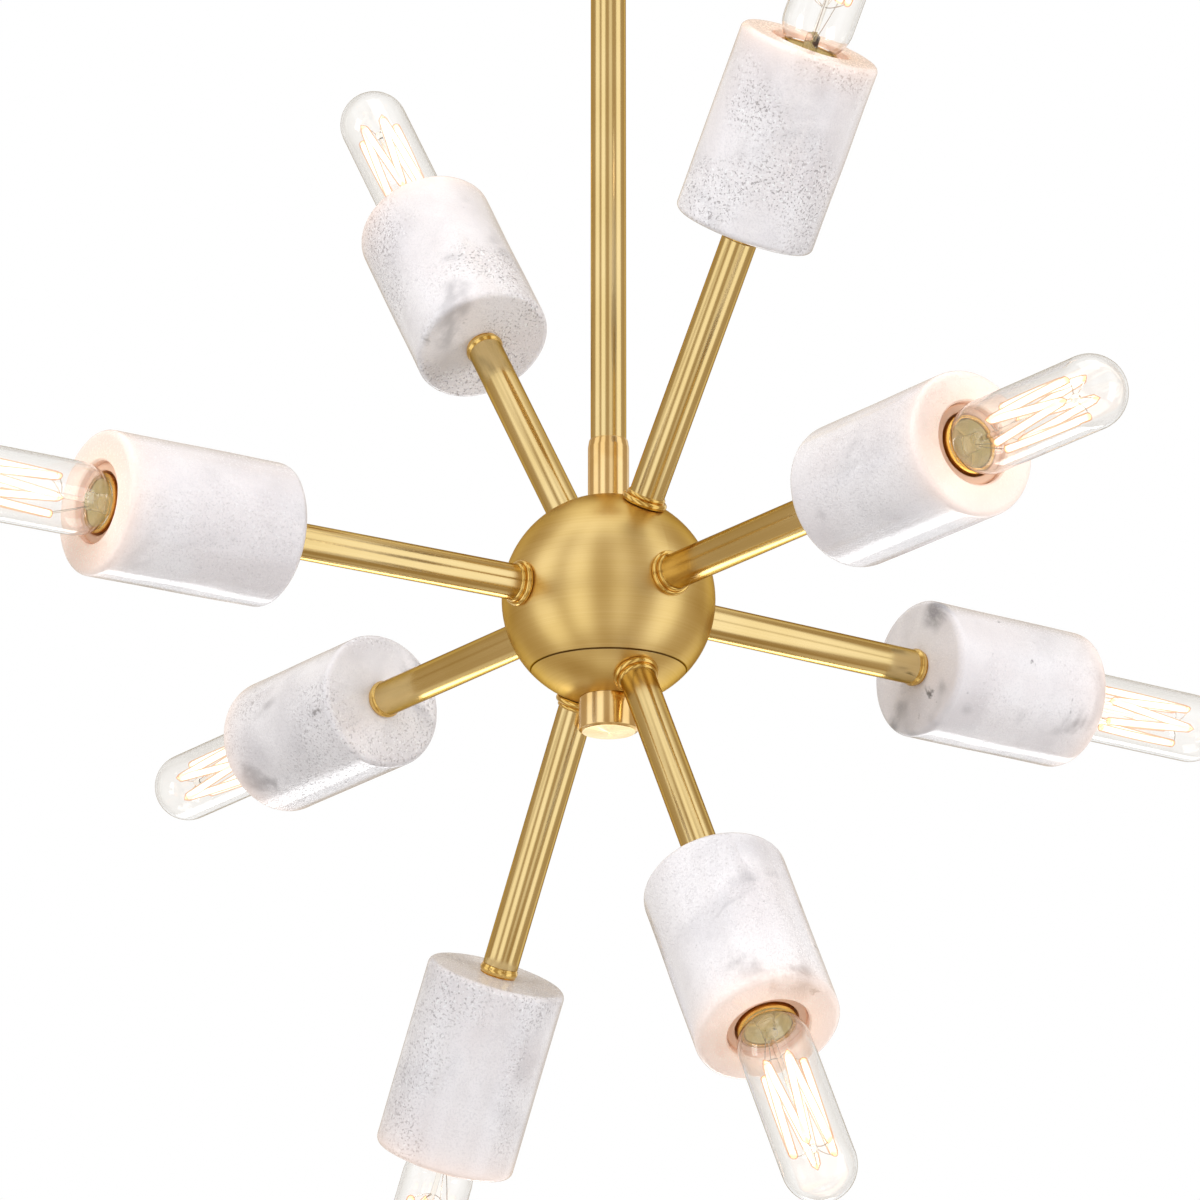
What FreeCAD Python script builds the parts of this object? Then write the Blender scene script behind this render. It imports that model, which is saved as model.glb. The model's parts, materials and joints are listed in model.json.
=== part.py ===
import FreeCAD, Part
import math
import os
import re

import Sketcher
from FreeCAD import Vector

# Sputnik chandelier: a brass ball on a stem, with eight arms that end in marble cups.
# Each cup holds a lampholder and a clear tubular lamp that screws in.
#
# Millimetres and degrees. The origin is the middle of the crossbar where it meets the ceiling,
# +Z is up, and arm 2 points along +X. Arms 1, 2, 4, 5, 6 and 8 make an upright star in the XZ
# plane, and arms 3 and 7 stand square to it. Everything on an arm is measured from the centre of
# the ball, along the arm.

document = FreeCAD.newDocument("SputnikChandelier")
sheet = document.addObject("Spreadsheet::Sheet", "Sizes")

SIZES = {
    # ceiling plate
    "canopy_diameter": 127.0,
    "canopy_depth": 25.0,
    "canopy_wall": 1.2,
    "canopy_rounding": 5.0,
    "bar_length": 112.0,
    "bar_width": 22.0,
    "bar_thickness": 2.0,
    "box_screw_spacing": 88.9,
    "slot_length": 13.0,
    "slot_width": 5.0,
    "wire_hole_diameter": 14.0,
    "stud_spacing": 66.0,
    "stud_diameter": 4.0,
    "stud_clearance": 0.25,
    "cap_nut_diameter": 11.0,
    "cap_nut_height": 9.0,
    "cap_nut_wall": 3.0,
    # swivel that lets the stem hang straight from a sloping ceiling
    "swivel_diameter": 36.0,
    "swivel_drop": 24.0,
    "swivel_clearance": 0.08,
    "liner_wall": 1.2,
    "liner_low_angle": 62.0,
    "liner_high_angle": 95.0,
    "seat_angle": 60.0,
    "collar_diameter": 44.0,
    "collar_flange_diameter": 52.0,
    "collar_flange_thickness": 1.5,
    "collar_rounding": 2.5,
    # stem
    "stem_diameter": 16.0,
    "stem_bore": 13.0,
    "stem_length": 305.0,
    "coupling_diameter": 18.4,
    "coupling_length": 27.7,
    "coupling_depth": 14.0,
    "coupling_rounding": 1.0,
    # ball
    "ball_diameter": 95.0,
    "ball_wall": 1.5,
    "seam_angle": 43.2,
    "seam_bevel": 0.35,
    "lip_height": 4.0,
    "lip_wall": 1.2,
    "lip_clearance": 0.1,
    "finial_diameter": 26.4,
    "finial_drop": 13.5,
    "finial_bevel": 0.8,
    # how far the centre rod stands out of the ball at either end
    "rod_above": 24.5,
    "rod_below": 10.0,
    # threaded pipe that joins tubes, ball and cups
    "pipe_diameter": 10.0,
    "pipe_bore": 7.0,
    "thread_clearance": 0.05,
    "seat_clearance": 0.05,
    "nut_width": 14.0,
    "nut_thickness": 4.0,
    # how far a ball nipple reaches into the ball and out of it
    "ball_nipple_inside": 9.5,
    "ball_nipple_outside": 12.5,
    "cup_nipple_start": 160.0,
    "cup_nipple_end": 208.0,
    "top_nipple_reach": 14.0,
    # arms
    "tube_diameter": 16.0,
    "tube_bore": 13.0,
    "tube_thread": 14.0,
    "cup_face": 177.0,
    "ball_collar_diameter": 20.5,
    "ball_collar_waist": 18.8,
    "ball_collar_large_bead": 2.9,
    "ball_collar_step": 17.5,
    "ball_collar_small_bead": 2.0,
    "ball_collar_small_bend": 1.15,
    "ball_collar_end": 16.8,
    "cup_collar_foot": 17.4,
    "cup_collar_bend": 2.5,
    "cup_collar_neck": 0.6,
    "cup_collar_length": 4.4,
    # marble cups and lampholders
    "cup_diameter": 63.5,
    "cup_length": 88.0,
    "cup_rounding": 3.0,
    "cup_bore": 36.0,
    "cup_floor": 14.0,
    "cup_mouth_bevel": 0.8,
    "holder_diameter": 35.4,
    "holder_recess": 3.0,
    "holder_base": 10.0,
    "holder_rim_rounding": 0.8,
    "holder_web": 4.0,
    "holder_chamber": 18.0,
    "rivet_diameter": 3.0,
    "socket_depth": 30.0,
    "shell_wall": 0.5,
    "shell_length": 24.0,
    "contact_diameter": 7.0,
    "contact_height": 4.0,
    # lamps
    "lamp_base_diameter": 26.2,
    "lamp_clearance": 0.2,
    "lamp_tip_gap": 0.1,
    "lamp_base_length": 27.0,
    "lamp_tip_diameter": 9.0,
    "lamp_tip_length": 2.0,
    "insulator_length": 5.0,
    "base_socket": 13.0,
    "neck_diameter": 22.6,
    "glass_diameter": 32.0,
    "glass_wall": 0.8,
    "glass_reach": 93.0,
    "shoulder_length": 12.0,
    "mount_foot": 2.0,
    "mount_stem_diameter": 8.0,
    "mount_stem_length": 20.0,
    "mount_rod_diameter": 2.4,
    "bead_diameter": 4.4,
    "filament_ring_diameter": 18.0,
    "filament_low": 24.0,
    "filament_high": 72.0,
    "filament_width": 0.7,
    "support_width": 0.5,
}

# Direction of each arm: angle round the stem from +X, and angle above the horizontal. The arms
# are set by hand, so opposite ones differ by a degree or two, and the lower cap, which carries
# arms 4 and 5, is screwed on a few degrees short of the star's plane.
ARMS = {
    1: (-0.5, 54.0),
    2: (0.0, 0.5),
    3: (92.0, 0.0),
    4: (-6.0, -58.5),
    5: (178.5, -59.5),
    6: (181.0, -1.5),
    7: (-90.5, -0.5),
    8: (180.5, 56.0),
}

FILAMENT_LEGS = 10

# Places that follow from the sizes, as formulas of the sheet.
PLACES = {
    # heights below the ceiling
    "swivel_z": "0 - swivel_drop",
    "swivel_radius": "swivel_diameter / 2",
    "stem_top_z": "swivel_z - sqrt(swivel_radius ^ 2 - (stem_diameter / 2) ^ 2)",
    "stem_bottom_z": "stem_top_z - stem_length",
    "coupling_top": "sqrt(ball_radius ^ 2 - (coupling_diameter / 2) ^ 2) + coupling_length",
    "ball_z": "stem_bottom_z + coupling_depth - coupling_top",
    "liner_inner": "swivel_radius + swivel_clearance",
    "liner_outer": "liner_inner + liner_wall",
    "seat_radius": "liner_outer + swivel_clearance",
    "canopy_radius": "canopy_diameter / 2",
    "canopy_inner": "canopy_radius - canopy_wall",
    "canopy_plate": "0 - canopy_depth + canopy_wall",
    "collar_radius": "collar_diameter / 2",
    "collar_hole": "collar_radius + thread_clearance",
    "collar_end": "swivel_z - seat_radius * cos(seat_angle)",
    "stud_radius": "stud_diameter / 2",
    "stud_place": "stud_spacing / 2",
    "cap_nut_radius": "cap_nut_diameter / 2",
    "cap_nut_end": "0 - canopy_depth - cap_nut_height",
    # the ball
    "ball_radius": "ball_diameter / 2",
    "ball_inner": "ball_radius - ball_wall",
    "seated_radius": "ball_radius + seat_clearance",
    "seam_drop": "ball_radius * sin(seam_angle)",
    "finial_bottom": "ball_radius + finial_drop",
    "rod_top": "ball_radius + rod_above",
    "rod_bottom": "ball_radius + rod_below",
    "ball_nipple_start": "ball_radius - ball_nipple_inside",
    "ball_nipple_end": "ball_radius + ball_nipple_outside",
    "pipe_radius": "pipe_diameter / 2",
    "tapped_radius": "pipe_radius + thread_clearance",
    "nut_corner": "nut_width / 2 / cos(30)",
    "nut_seat": "sqrt(ball_inner ^ 2 - nut_corner ^ 2) - seat_clearance",
    "tube_radius": "tube_diameter / 2",
    "tube_start": "seated_radius + seat_clearance",
    "tube_end": "cup_face - cup_collar_length",
    "collar_bore": "tube_radius + thread_clearance",
    "collar_foot": "ball_collar_waist / 2",
    "collar_bulge": "(ball_collar_diameter - ball_collar_waist) / 2",
    "collar_bend": "(collar_bulge ^ 2 + (ball_collar_large_bead / 2) ^ 2) / 2 / collar_bulge",
    "collar_base": "sqrt(seated_radius ^ 2 - collar_foot ^ 2)",
    "collar_groove": "collar_base + ball_collar_large_bead",
    # the cups, measured along the arm
    "cup_radius": "cup_diameter / 2",
    "cup_mouth": "cup_face + cup_length",
    "cup_bottom": "cup_face + cup_floor",
    "holder_radius": "holder_diameter / 2",
    "holder_start": "cup_bottom + nut_thickness",
    "holder_rim": "cup_mouth - holder_recess",
    "socket_floor": "holder_rim - socket_depth",
    "shell_inner": "lamp_base_diameter / 2 + lamp_clearance",
    "shell_outer": "shell_inner + shell_wall",
    "socket_radius": "shell_outer + lamp_clearance / 2",
    # the lamps
    "lamp_tip": "socket_floor + contact_height + lamp_tip_gap",
    "base_radius": "lamp_base_diameter / 2",
    "base_top": "lamp_tip + lamp_base_length",
    "insulator_top": "lamp_tip + lamp_tip_length + insulator_length",
    "neck_radius": "neck_diameter / 2",
    "neck_start": "base_top - base_socket + seat_clearance",
    "shoulder_end": "base_top + shoulder_length",
    "glass_radius": "glass_diameter / 2",
    "glass_inner": "glass_radius - glass_wall",
    "neck_inner": "neck_radius - glass_wall",
    "shoulder_step": "glass_radius - neck_radius",
    "shoulder_bend": "(shoulder_step ^ 2 + shoulder_length ^ 2) / 2 / shoulder_step",
    "glass_end": "cup_mouth + glass_reach",
    "dome_start": "glass_end - glass_radius",
    "filament_start": "base_top + filament_low",
    "filament_end": "base_top + filament_high",
    "ring_radius": "filament_ring_diameter / 2",
}


def fill_sheet():
    """Writes each size and each arm's direction to the sheet, one named cell a row."""
    values = dict(SIZES)
    for number, (azimuth, elevation) in ARMS.items():
        values["azimuth_%d" % number] = azimuth
        values["elevation_%d" % number] = elevation
    for row, (name, value) in enumerate(values.items(), 1):
        sheet.set("A%d" % row, name)
        sheet.set("B%d" % row, str(value))
        sheet.setAlias("B%d" % row, name)
    document.recompute()
    return set(values)


NAMES = fill_sheet()


def formula(text):
    """A formula that the document can read: sizes become cells of the sheet, and places are
    replaced by their own formulas."""
    def known(match):
        word = match.group(0)
        if word in PLACES:
            return "(" + formula(PLACES[word]) + ")"
        return "Sizes." + word if word in NAMES else word
    return re.sub(r"\b[a-z][a-z0-9_]*", known, str(text))


def value(text):
    """The number that a formula gives now."""
    return float(sheet.evalExpression(formula(text)))


def bind(target, prop, text):
    target.setExpression(prop, formula(text))


def new_body(label):
    body = document.addObject("PartDesign::Body", label)
    body.Label = label
    return body


def origin_plane(body, role):
    return next(f for f in body.Origin.OriginFeatures if f.Role == role)


def sketch_on(body, role, label):
    """A sketch on one of the body's own origin planes."""
    sketch = body.newObject("Sketcher::SketchObject", label)
    sketch.AttachmentSupport = [(origin_plane(body, role), "")]
    sketch.MapMode = "FlatFace"
    return sketch


def pin_point(constraints, drives, edge, end, x, y):
    """Ties a point of the sketch to the formulas of its two coordinates."""
    for kind, axis, text in (("DistanceX", -2, x), ("DistanceY", -1, y)):
        number = value(text)
        if str(text) == "0":
            constraints.append(Sketcher.Constraint("PointOnObject", edge, end, axis))
            continue
        drives[len(constraints)] = text
        constraints.append(Sketcher.Constraint(kind, -1, 1, edge, end, number))


def arc_between(start, finish, radius, turn):
    """The short arc from start to finish. It turns left where turn is 1, and right where it is -1."""
    chord = finish - start
    half = chord.Length / 2
    left = Vector(-chord.y, chord.x, 0).normalize()
    rise = math.sqrt(max(radius ** 2 - half ** 2, 0))
    centre = (start + finish) * 0.5 + left * (turn * rise)
    first, last = (start, finish) if turn > 0 else (finish, start)
    angles = [math.atan2(p.y - centre.y, p.x - centre.x) for p in (first, last)]
    if angles[1] <= angles[0]:
        angles[1] += 2 * math.pi
    circle = Part.Circle(centre, Vector(0, 0, 1), radius)
    return Part.ArcOfCircle(circle, angles[0], angles[1])


def draw_outline(sketch, corners):
    """Draws a closed outline. A corner is (x, y), reached by a line, or (x, y, radius, turn),
    reached by an arc. Every corner and radius is a formula."""
    points = [Vector(value(c[0]), value(c[1]), 0) for c in corners]
    edges, starts, ends = [], [], []
    for index, corner in enumerate(corners):
        start, finish = points[index - 1], points[index]
        if len(corner) == 2:
            edges.append(Part.LineSegment(start, finish))
            starts.append(1)
            ends.append(2)
        else:
            edges.append(arc_between(start, finish, value(corner[2]), corner[3]))
            starts.append(1 if corner[3] > 0 else 2)
            ends.append(2 if corner[3] > 0 else 1)
    first = sketch.GeometryCount
    sketch.addGeometry(edges, False)
    constraints, drives = [], {}
    for index, corner in enumerate(corners):
        follower = (index + 1) % len(corners)
        here, there = first + index, first + follower
        constraints.append(Sketcher.Constraint("Coincident", here, ends[index], there, starts[follower]))
        pin_point(constraints, drives, here, ends[index], corner[0], corner[1])
        if len(corner) > 2:
            drives[len(constraints)] = corner[2]
            constraints.append(Sketcher.Constraint("Radius", here, value(corner[2])))
    base = sketch.ConstraintCount
    sketch.addConstraint(constraints)
    for index, text in drives.items():
        sketch.renameConstraint(base + index, "size_%d" % (base + index))
        bind(sketch, "Constraints.size_%d" % (base + index), text)


def turned(label, *outlines):
    """A body turned on a lathe: closed outlines of (radius, height) spun about its Z axis."""
    body = new_body(label)
    sketch = sketch_on(body, "XZ_Plane", label + "_profile")
    for corners in outlines:
        draw_outline(sketch, corners)
    spin = body.newObject("PartDesign::Revolution", label + "_turned")
    spin.Profile = sketch
    spin.ReferenceAxis = (sketch, ["V_Axis"])
    spin.Angle = 360
    sketch.Visibility = False
    document.recompute()
    return body


def sleeve(label, inner, outer, start, finish):
    """A plain turned sleeve between two radii and two heights."""
    return turned(label, [(inner, start), (outer, start), (outer, finish), (inner, finish)])


def hex_nut(label, start):
    """A hexagonal nut round the Z axis, from the height start upwards."""
    body = new_body(label)
    sketch = sketch_on(body, "XY_Plane", label + "_flats")
    corners = []
    for step in range(6):
        corners.append(("nut_corner * cos(%d)" % (60 * step), "nut_corner * sin(%d)" % (60 * step)))
    corners[0] = ("nut_corner", "0")
    corners[3] = ("0 - nut_corner", "0")
    draw_outline(sketch, corners)
    bind(sketch, "AttachmentOffset", "placement(vector(0; 0; %s); rotation(vector(0; 0; 1); 0))" % start)
    pad = body.newObject("PartDesign::Pad", label + "_pad")
    pad.Profile = sketch
    bind(pad, "Length", "nut_thickness")
    sketch.Visibility = False
    document.recompute()
    hole = sketch_on(body, "XY_Plane", label + "_bore")
    circle = Part.Circle(Vector(), Vector(0, 0, 1), value("tapped_radius"))
    hole.addGeometry(circle, False)
    hole.addConstraint(Sketcher.Constraint("Coincident", 0, 3, -1, 1))
    hole.addConstraint(Sketcher.Constraint("Radius", 0, value("tapped_radius")))
    hole.renameConstraint(1, "bore")
    bind(hole, "Constraints.bore", "tapped_radius")
    pocket = body.newObject("PartDesign::Pocket", label + "_hole")
    pocket.Profile = hole
    pocket.Type = "ThroughAll"
    pocket.Midplane = True
    hole.Visibility = False
    document.recompute()
    return body


def stand(body, height):
    """Puts a body on the stem's axis at a height."""
    bind(body, "Placement", "placement(vector(0; 0; %s); rotation(vector(0; 0; 1); 0))" % height)
    return body


def aim(target, number):
    """Points a body's Z axis along an arm, with its origin in the ball's centre."""
    turn = "rotation(vector(0; 0; 1); azimuth_%d)" % number
    tilt = "rotation(vector(0; 1; 0); 90 - elevation_%d)" % number
    bind(target, "Placement", "placement(vector(0; 0; ball_z); %s * %s)" % (turn, tilt))
    return target


def group(label, bodies):
    """One node that holds like pieces as separate solids."""
    node = document.addObject("Part::Compound", label)
    node.Label = label
    node.Links = bodies
    return node


# ---------------------------------------------------------------- ceiling plate

def cut_circles(body, label, radius, places):
    """Cuts round holes straight up through a body."""
    sketch = sketch_on(body, "XY_Plane", label + "_circles")
    for x, y in places:
        edge = sketch.GeometryCount
        centre = Vector(value(x), value(y), 0)
        sketch.addGeometry(Part.Circle(centre, Vector(0, 0, 1), value(radius)), False)
        constraints, drives = [], {}
        pin_point(constraints, drives, edge, 3, x, y)
        drives[len(constraints)] = radius
        constraints.append(Sketcher.Constraint("Radius", edge, value(radius)))
        base = sketch.ConstraintCount
        sketch.addConstraint(constraints)
        for index, text in drives.items():
            sketch.renameConstraint(base + index, "size_%d" % (base + index))
            bind(sketch, "Constraints.size_%d" % (base + index), text)
    pocket = body.newObject("PartDesign::Pocket", label)
    pocket.Profile = sketch
    pocket.Type = "ThroughAll"
    pocket.Midplane = True
    sketch.Visibility = False
    before = body.Shape.Volume
    document.recompute()
    if body.Shape.Volume >= before:
        raise ValueError(label + " cuts nothing")


def make_canopy():
    """A spun dish that covers the ceiling box, with a hole for the swivel collar."""
    body = turned("canopy", [
        ("collar_hole", "0 - canopy_depth"),
        ("canopy_radius - canopy_rounding", "0 - canopy_depth"),
        ("canopy_radius", "0 - canopy_depth + canopy_rounding", "canopy_rounding", 1),
        ("canopy_radius", "0"),
        ("canopy_inner", "0"),
        ("canopy_inner", "0 - canopy_depth + canopy_rounding"),
        ("canopy_radius - canopy_rounding", "canopy_plate", "canopy_rounding - canopy_wall", -1),
        ("collar_hole", "canopy_plate"),
    ])
    studs = [("stud_place", "0"), ("0 - stud_place", "0")]
    cut_circles(body, "canopy_stud_holes", "stud_radius + stud_clearance", studs)
    return body


def slot_outline(centre, half_length, half_width):
    """A slot along X with round ends, each drawn as two quarter arcs."""
    straight = "(%s - %s)" % (half_length, half_width)
    return [
        ("%s + %s" % (centre, straight), "0 - %s" % half_width),
        ("%s + %s" % (centre, half_length), "0", half_width, 1),
        ("%s + %s" % (centre, straight), half_width, half_width, 1),
        ("%s - %s" % (centre, straight), half_width),
        ("%s - %s" % (centre, half_length), "0", half_width, 1),
        ("%s - %s" % (centre, straight), "0 - %s" % half_width, half_width, 1),
    ]


def make_crossbar():
    """A flat steel bar that screws to the ceiling box through its two slots."""
    body = new_body("crossbar")
    sketch = sketch_on(body, "XY_Plane", "crossbar_outline")
    draw_outline(sketch, slot_outline("0", "bar_length / 2", "bar_width / 2"))
    for side in ("0 - box_screw_spacing / 2", "0 + box_screw_spacing / 2"):
        draw_outline(sketch, slot_outline(side, "slot_length / 2", "slot_width / 2"))
    pad = body.newObject("PartDesign::Pad", "crossbar_plate")
    pad.Profile = sketch
    bind(pad, "Length", "bar_thickness")
    pad.Reversed = True
    sketch.Visibility = False
    document.recompute()
    cut_circles(body, "crossbar_wire_hole", "wire_hole_diameter / 2", [("0", "0")])
    studs = [("stud_place", "0"), ("0 - stud_place", "0")]
    cut_circles(body, "crossbar_tapped_holes", "stud_radius + thread_clearance", studs)
    return body


def move_aside(body, x):
    bind(body, "Placement", "placement(vector(%s; 0; 0); rotation(vector(0; 0; 1); 0))" % x)
    return body


def make_canopy_stud(side, x):
    """A threaded stud from the crossbar down into a cap nut."""
    label = "canopy_stud_" + side
    end = "cap_nut_end + cap_nut_wall + seat_clearance"
    return move_aside(turned(label, [
        ("0", end), ("stud_radius", end), ("stud_radius", "0"), ("0", "0"),
    ]), x)


def make_cap_nut(side, x):
    """A round-ended nut that holds the canopy up against the crossbar."""
    top, bore = "0 - canopy_depth", "stud_radius + thread_clearance"
    return move_aside(turned("cap_nut_" + side, [
        (bore, top),
        ("cap_nut_radius", top),
        ("cap_nut_radius", "cap_nut_end + cap_nut_radius"),
        ("0", "cap_nut_end", "cap_nut_radius", -1),
        ("0", "cap_nut_end + cap_nut_wall"),
        (bore, "cap_nut_end + cap_nut_wall"),
    ]), x)


# ---------------------------------------------------------------- swivel

def make_swivel_collar():
    """A flanged ring that hangs in the canopy's hole. Its inside is a round seat for the ball."""
    return turned("swivel_collar", [
        ("seat_radius * sin(seat_angle)", "collar_end", "seat_radius", -1),
        ("collar_radius - collar_rounding", "collar_end"),
        ("collar_radius", "collar_end + collar_rounding", "collar_rounding", 1),
        ("collar_radius", "canopy_plate"),
        ("collar_flange_diameter / 2", "canopy_plate"),
        ("collar_flange_diameter / 2", "canopy_plate + collar_flange_thickness"),
        ("seat_radius", "canopy_plate + collar_flange_thickness"),
        ("seat_radius", "swivel_z"),
    ])


def on_sphere(radius, angle):
    """A point of a sphere round the swivel's centre, at an angle from straight down."""
    return "%s * sin(%s)" % (radius, angle), "swivel_z - %s * cos(%s)" % (radius, angle)


def make_swivel_liner():
    """A zone of a thin nylon sphere between the ball and its seat."""
    return turned("swivel_liner", [
        on_sphere("liner_inner", "liner_low_angle") + ("liner_inner", -1),
        on_sphere("liner_outer", "liner_low_angle"),
        on_sphere("liner_outer", "liner_high_angle") + ("liner_outer", 1),
        on_sphere("liner_inner", "liner_high_angle"),
    ])


def make_swivel_ball():
    """A brass ball with a flat foot where the stem meets it, tapped right through."""
    return turned("swivel_ball", [
        ("tapped_radius", "stem_top_z"),
        ("stem_diameter / 2", "stem_top_z"),
        ("tapped_radius", "swivel_z + sqrt(swivel_radius ^ 2 - tapped_radius ^ 2)", "swivel_radius", 1),
    ])


# ---------------------------------------------------------------- stem and ball

def tapped_tube(label, radius, bore, start, finish):
    """A tube with a wide bore and a tapped end piece of the pipe's size at each end."""
    return turned(label, [
        ("tapped_radius", start),
        (radius, start),
        (radius, finish),
        ("tapped_radius", finish),
        ("tapped_radius", finish + " - tube_thread"),
        (bore, finish + " - tube_thread"),
        (bore, start + " + tube_thread"),
        ("tapped_radius", start + " + tube_thread"),
    ])


def make_coupling():
    """The sleeve at the foot of the stem, hollowed to sit on the ball."""
    radius, bore = "coupling_diameter / 2", "stem_diameter / 2 + thread_clearance"
    return stand(turned("stem_coupling", [
        ("tapped_radius", "sqrt(seated_radius ^ 2 - tapped_radius ^ 2)"),
        (radius, "sqrt(seated_radius ^ 2 - (coupling_diameter / 2) ^ 2)", "seated_radius", -1),
        (radius, "coupling_top - coupling_rounding"),
        (radius + " - coupling_rounding", "coupling_top", "coupling_rounding", 1),
        (bore, "coupling_top"),
        (bore, "coupling_top - coupling_depth"),
        ("tapped_radius", "coupling_top - coupling_depth"),
    ]), "ball_z")


def drill_for_arm(body, number):
    """Drills the hole that an arm's nipple passes through."""
    hole = body.newObject("PartDesign::SubtractiveCylinder", "arm_hole_%d" % number)
    bind(hole, "Radius", "tapped_radius")
    bind(hole, "Height", "ball_diameter")
    turn = "rotation(vector(0; 0; 1); azimuth_%d)" % number
    tilt = "rotation(vector(0; 1; 0); 90 - elevation_%d)" % number
    bind(hole, "Placement", "placement(vector(0; 0; 0); %s * %s)" % (turn, tilt))
    before = body.Shape.Volume
    document.recompute()
    if body.Shape.Volume >= before:
        raise ValueError("the hole for arm %d cuts nothing" % number)


def make_upper_shell():
    """The larger part of the ball, down to the seam. It carries six arms."""
    body = turned("upper_shell", [
        ("sqrt(ball_inner ^ 2 - seam_drop ^ 2)", "0 - seam_drop", "ball_inner", -1),
        ("sqrt(ball_radius ^ 2 - seam_drop ^ 2) - seam_bevel", "0 - seam_drop"),
        ("sqrt(ball_radius ^ 2 - (seam_drop - seam_bevel) ^ 2)", "seam_bevel - seam_drop"),
        ("tapped_radius", "sqrt(ball_radius ^ 2 - tapped_radius ^ 2)", "ball_radius", 1),
        ("tapped_radius", "sqrt(ball_inner ^ 2 - tapped_radius ^ 2)"),
    ])
    for number in UPPER_ARMS:
        drill_for_arm(body, number)
    return stand(body, "ball_z")


def make_lower_cap():
    """The cap below the seam, with a lip that nests in the upper shell. It carries two arms."""
    lip_outer = "sqrt(ball_inner ^ 2 - seam_drop ^ 2) - lip_clearance"
    lip_inner = lip_outer + " - lip_wall"
    body = turned("lower_cap", [
        (lip_inner, "0 - sqrt(ball_inner ^ 2 - (%s) ^ 2)" % lip_inner, "ball_inner", 1),
        (lip_inner, "lip_height - seam_drop"),
        (lip_outer, "lip_height - seam_drop"),
        (lip_outer, "0 - seam_drop"),
        ("sqrt(ball_radius ^ 2 - seam_drop ^ 2) - seam_bevel", "0 - seam_drop"),
        ("sqrt(ball_radius ^ 2 - (seam_drop + seam_bevel) ^ 2)", "0 - seam_drop - seam_bevel"),
        ("tapped_radius", "0 - sqrt(ball_radius ^ 2 - tapped_radius ^ 2)", "ball_radius", -1),
        ("tapped_radius", "0 - sqrt(ball_inner ^ 2 - tapped_radius ^ 2)"),
    ])
    for number in LOWER_ARMS:
        drill_for_arm(body, number)
    return stand(body, "ball_z")


def make_finial():
    """The round nut under the ball that holds the cap on."""
    radius, floor = "finial_diameter / 2", "0 - rod_bottom - seat_clearance"
    return stand(turned("finial", [
        ("tapped_radius", "0 - sqrt(seated_radius ^ 2 - tapped_radius ^ 2)"),
        (radius, "0 - sqrt(seated_radius ^ 2 - (finial_diameter / 2) ^ 2)", "seated_radius", 1),
        (radius, "finial_bevel - finial_bottom"),
        (radius + " - finial_bevel", "0 - finial_bottom"),
        ("0", "0 - finial_bottom"),
        ("0", floor),
        ("tapped_radius", floor),
    ]), "ball_z")


# ---------------------------------------------------------------- arms

def make_ball_collar(number):
    """A turned ring round the foot of an arm, with a large bead on the ball and a small one above."""
    return aim(turned("ball_collar_%d" % number, [
        ("collar_bore", "sqrt(seated_radius ^ 2 - collar_bore ^ 2)"),
        ("collar_foot", "collar_base", "seated_radius", -1),
        ("collar_foot", "collar_groove", "collar_bend", 1),
        ("ball_collar_step / 2", "collar_groove"),
        ("ball_collar_end / 2", "collar_groove + ball_collar_small_bead", "ball_collar_small_bend", 1),
        ("collar_bore", "collar_groove + ball_collar_small_bead"),
    ]), number)


def make_cup_collar(number):
    """A turned bead between the arm's tube and the marble cup."""
    return aim(turned("cup_collar_%d" % number, [
        ("tapped_radius", "tube_end"),
        ("tube_radius", "tube_end"),
        ("tube_radius", "tube_end + cup_collar_neck"),
        ("cup_collar_foot / 2", "cup_face", "cup_collar_bend", 1),
        ("tapped_radius", "cup_face"),
    ]), number)


def make_marble_cup(number):
    """A marble cylinder with rounded edges, bored from its outer end for the lampholder."""
    return aim(turned("marble_cup_%d" % number, [
        ("tapped_radius", "cup_face"),
        ("cup_radius - cup_rounding", "cup_face"),
        ("cup_radius", "cup_face + cup_rounding", "cup_rounding", 1),
        ("cup_radius", "cup_mouth - cup_rounding"),
        ("cup_radius - cup_rounding", "cup_mouth", "cup_rounding", 1),
        ("cup_bore / 2 + cup_mouth_bevel", "cup_mouth"),
        ("cup_bore / 2", "cup_mouth - cup_mouth_bevel"),
        ("cup_bore / 2", "cup_bottom"),
        ("tapped_radius", "cup_bottom"),
    ]), number)


def make_lampholder(number):
    """A ceramic body: a tapped base, a wiring chamber, a web for the contact and a deep socket."""
    return aim(turned("lampholder_%d" % number, [
        ("tapped_radius", "holder_start"),
        ("holder_radius", "holder_start"),
        ("holder_radius", "holder_rim - holder_rim_rounding"),
        ("holder_radius - holder_rim_rounding", "holder_rim", "holder_rim_rounding", 1),
        ("socket_radius", "holder_rim"),
        ("socket_radius", "socket_floor"),
        ("rivet_diameter / 2 + thread_clearance", "socket_floor"),
        ("rivet_diameter / 2 + thread_clearance", "socket_floor - holder_web"),
        ("holder_chamber / 2", "socket_floor - holder_web"),
        ("holder_chamber / 2", "holder_start + holder_base"),
        ("tapped_radius", "holder_start + holder_base"),
    ]), number)


def make_contact(number):
    """The centre contact, riveted through the lampholder's web."""
    return aim(turned("contact_%d" % number, [
        ("0", "socket_floor - holder_web"),
        ("rivet_diameter / 2", "socket_floor - holder_web"),
        ("rivet_diameter / 2", "socket_floor"),
        ("contact_diameter / 2", "socket_floor"),
        ("contact_diameter / 2", "socket_floor + contact_height"),
        ("0", "socket_floor + contact_height"),
    ]), number)


# ---------------------------------------------------------------- lamps

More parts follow.
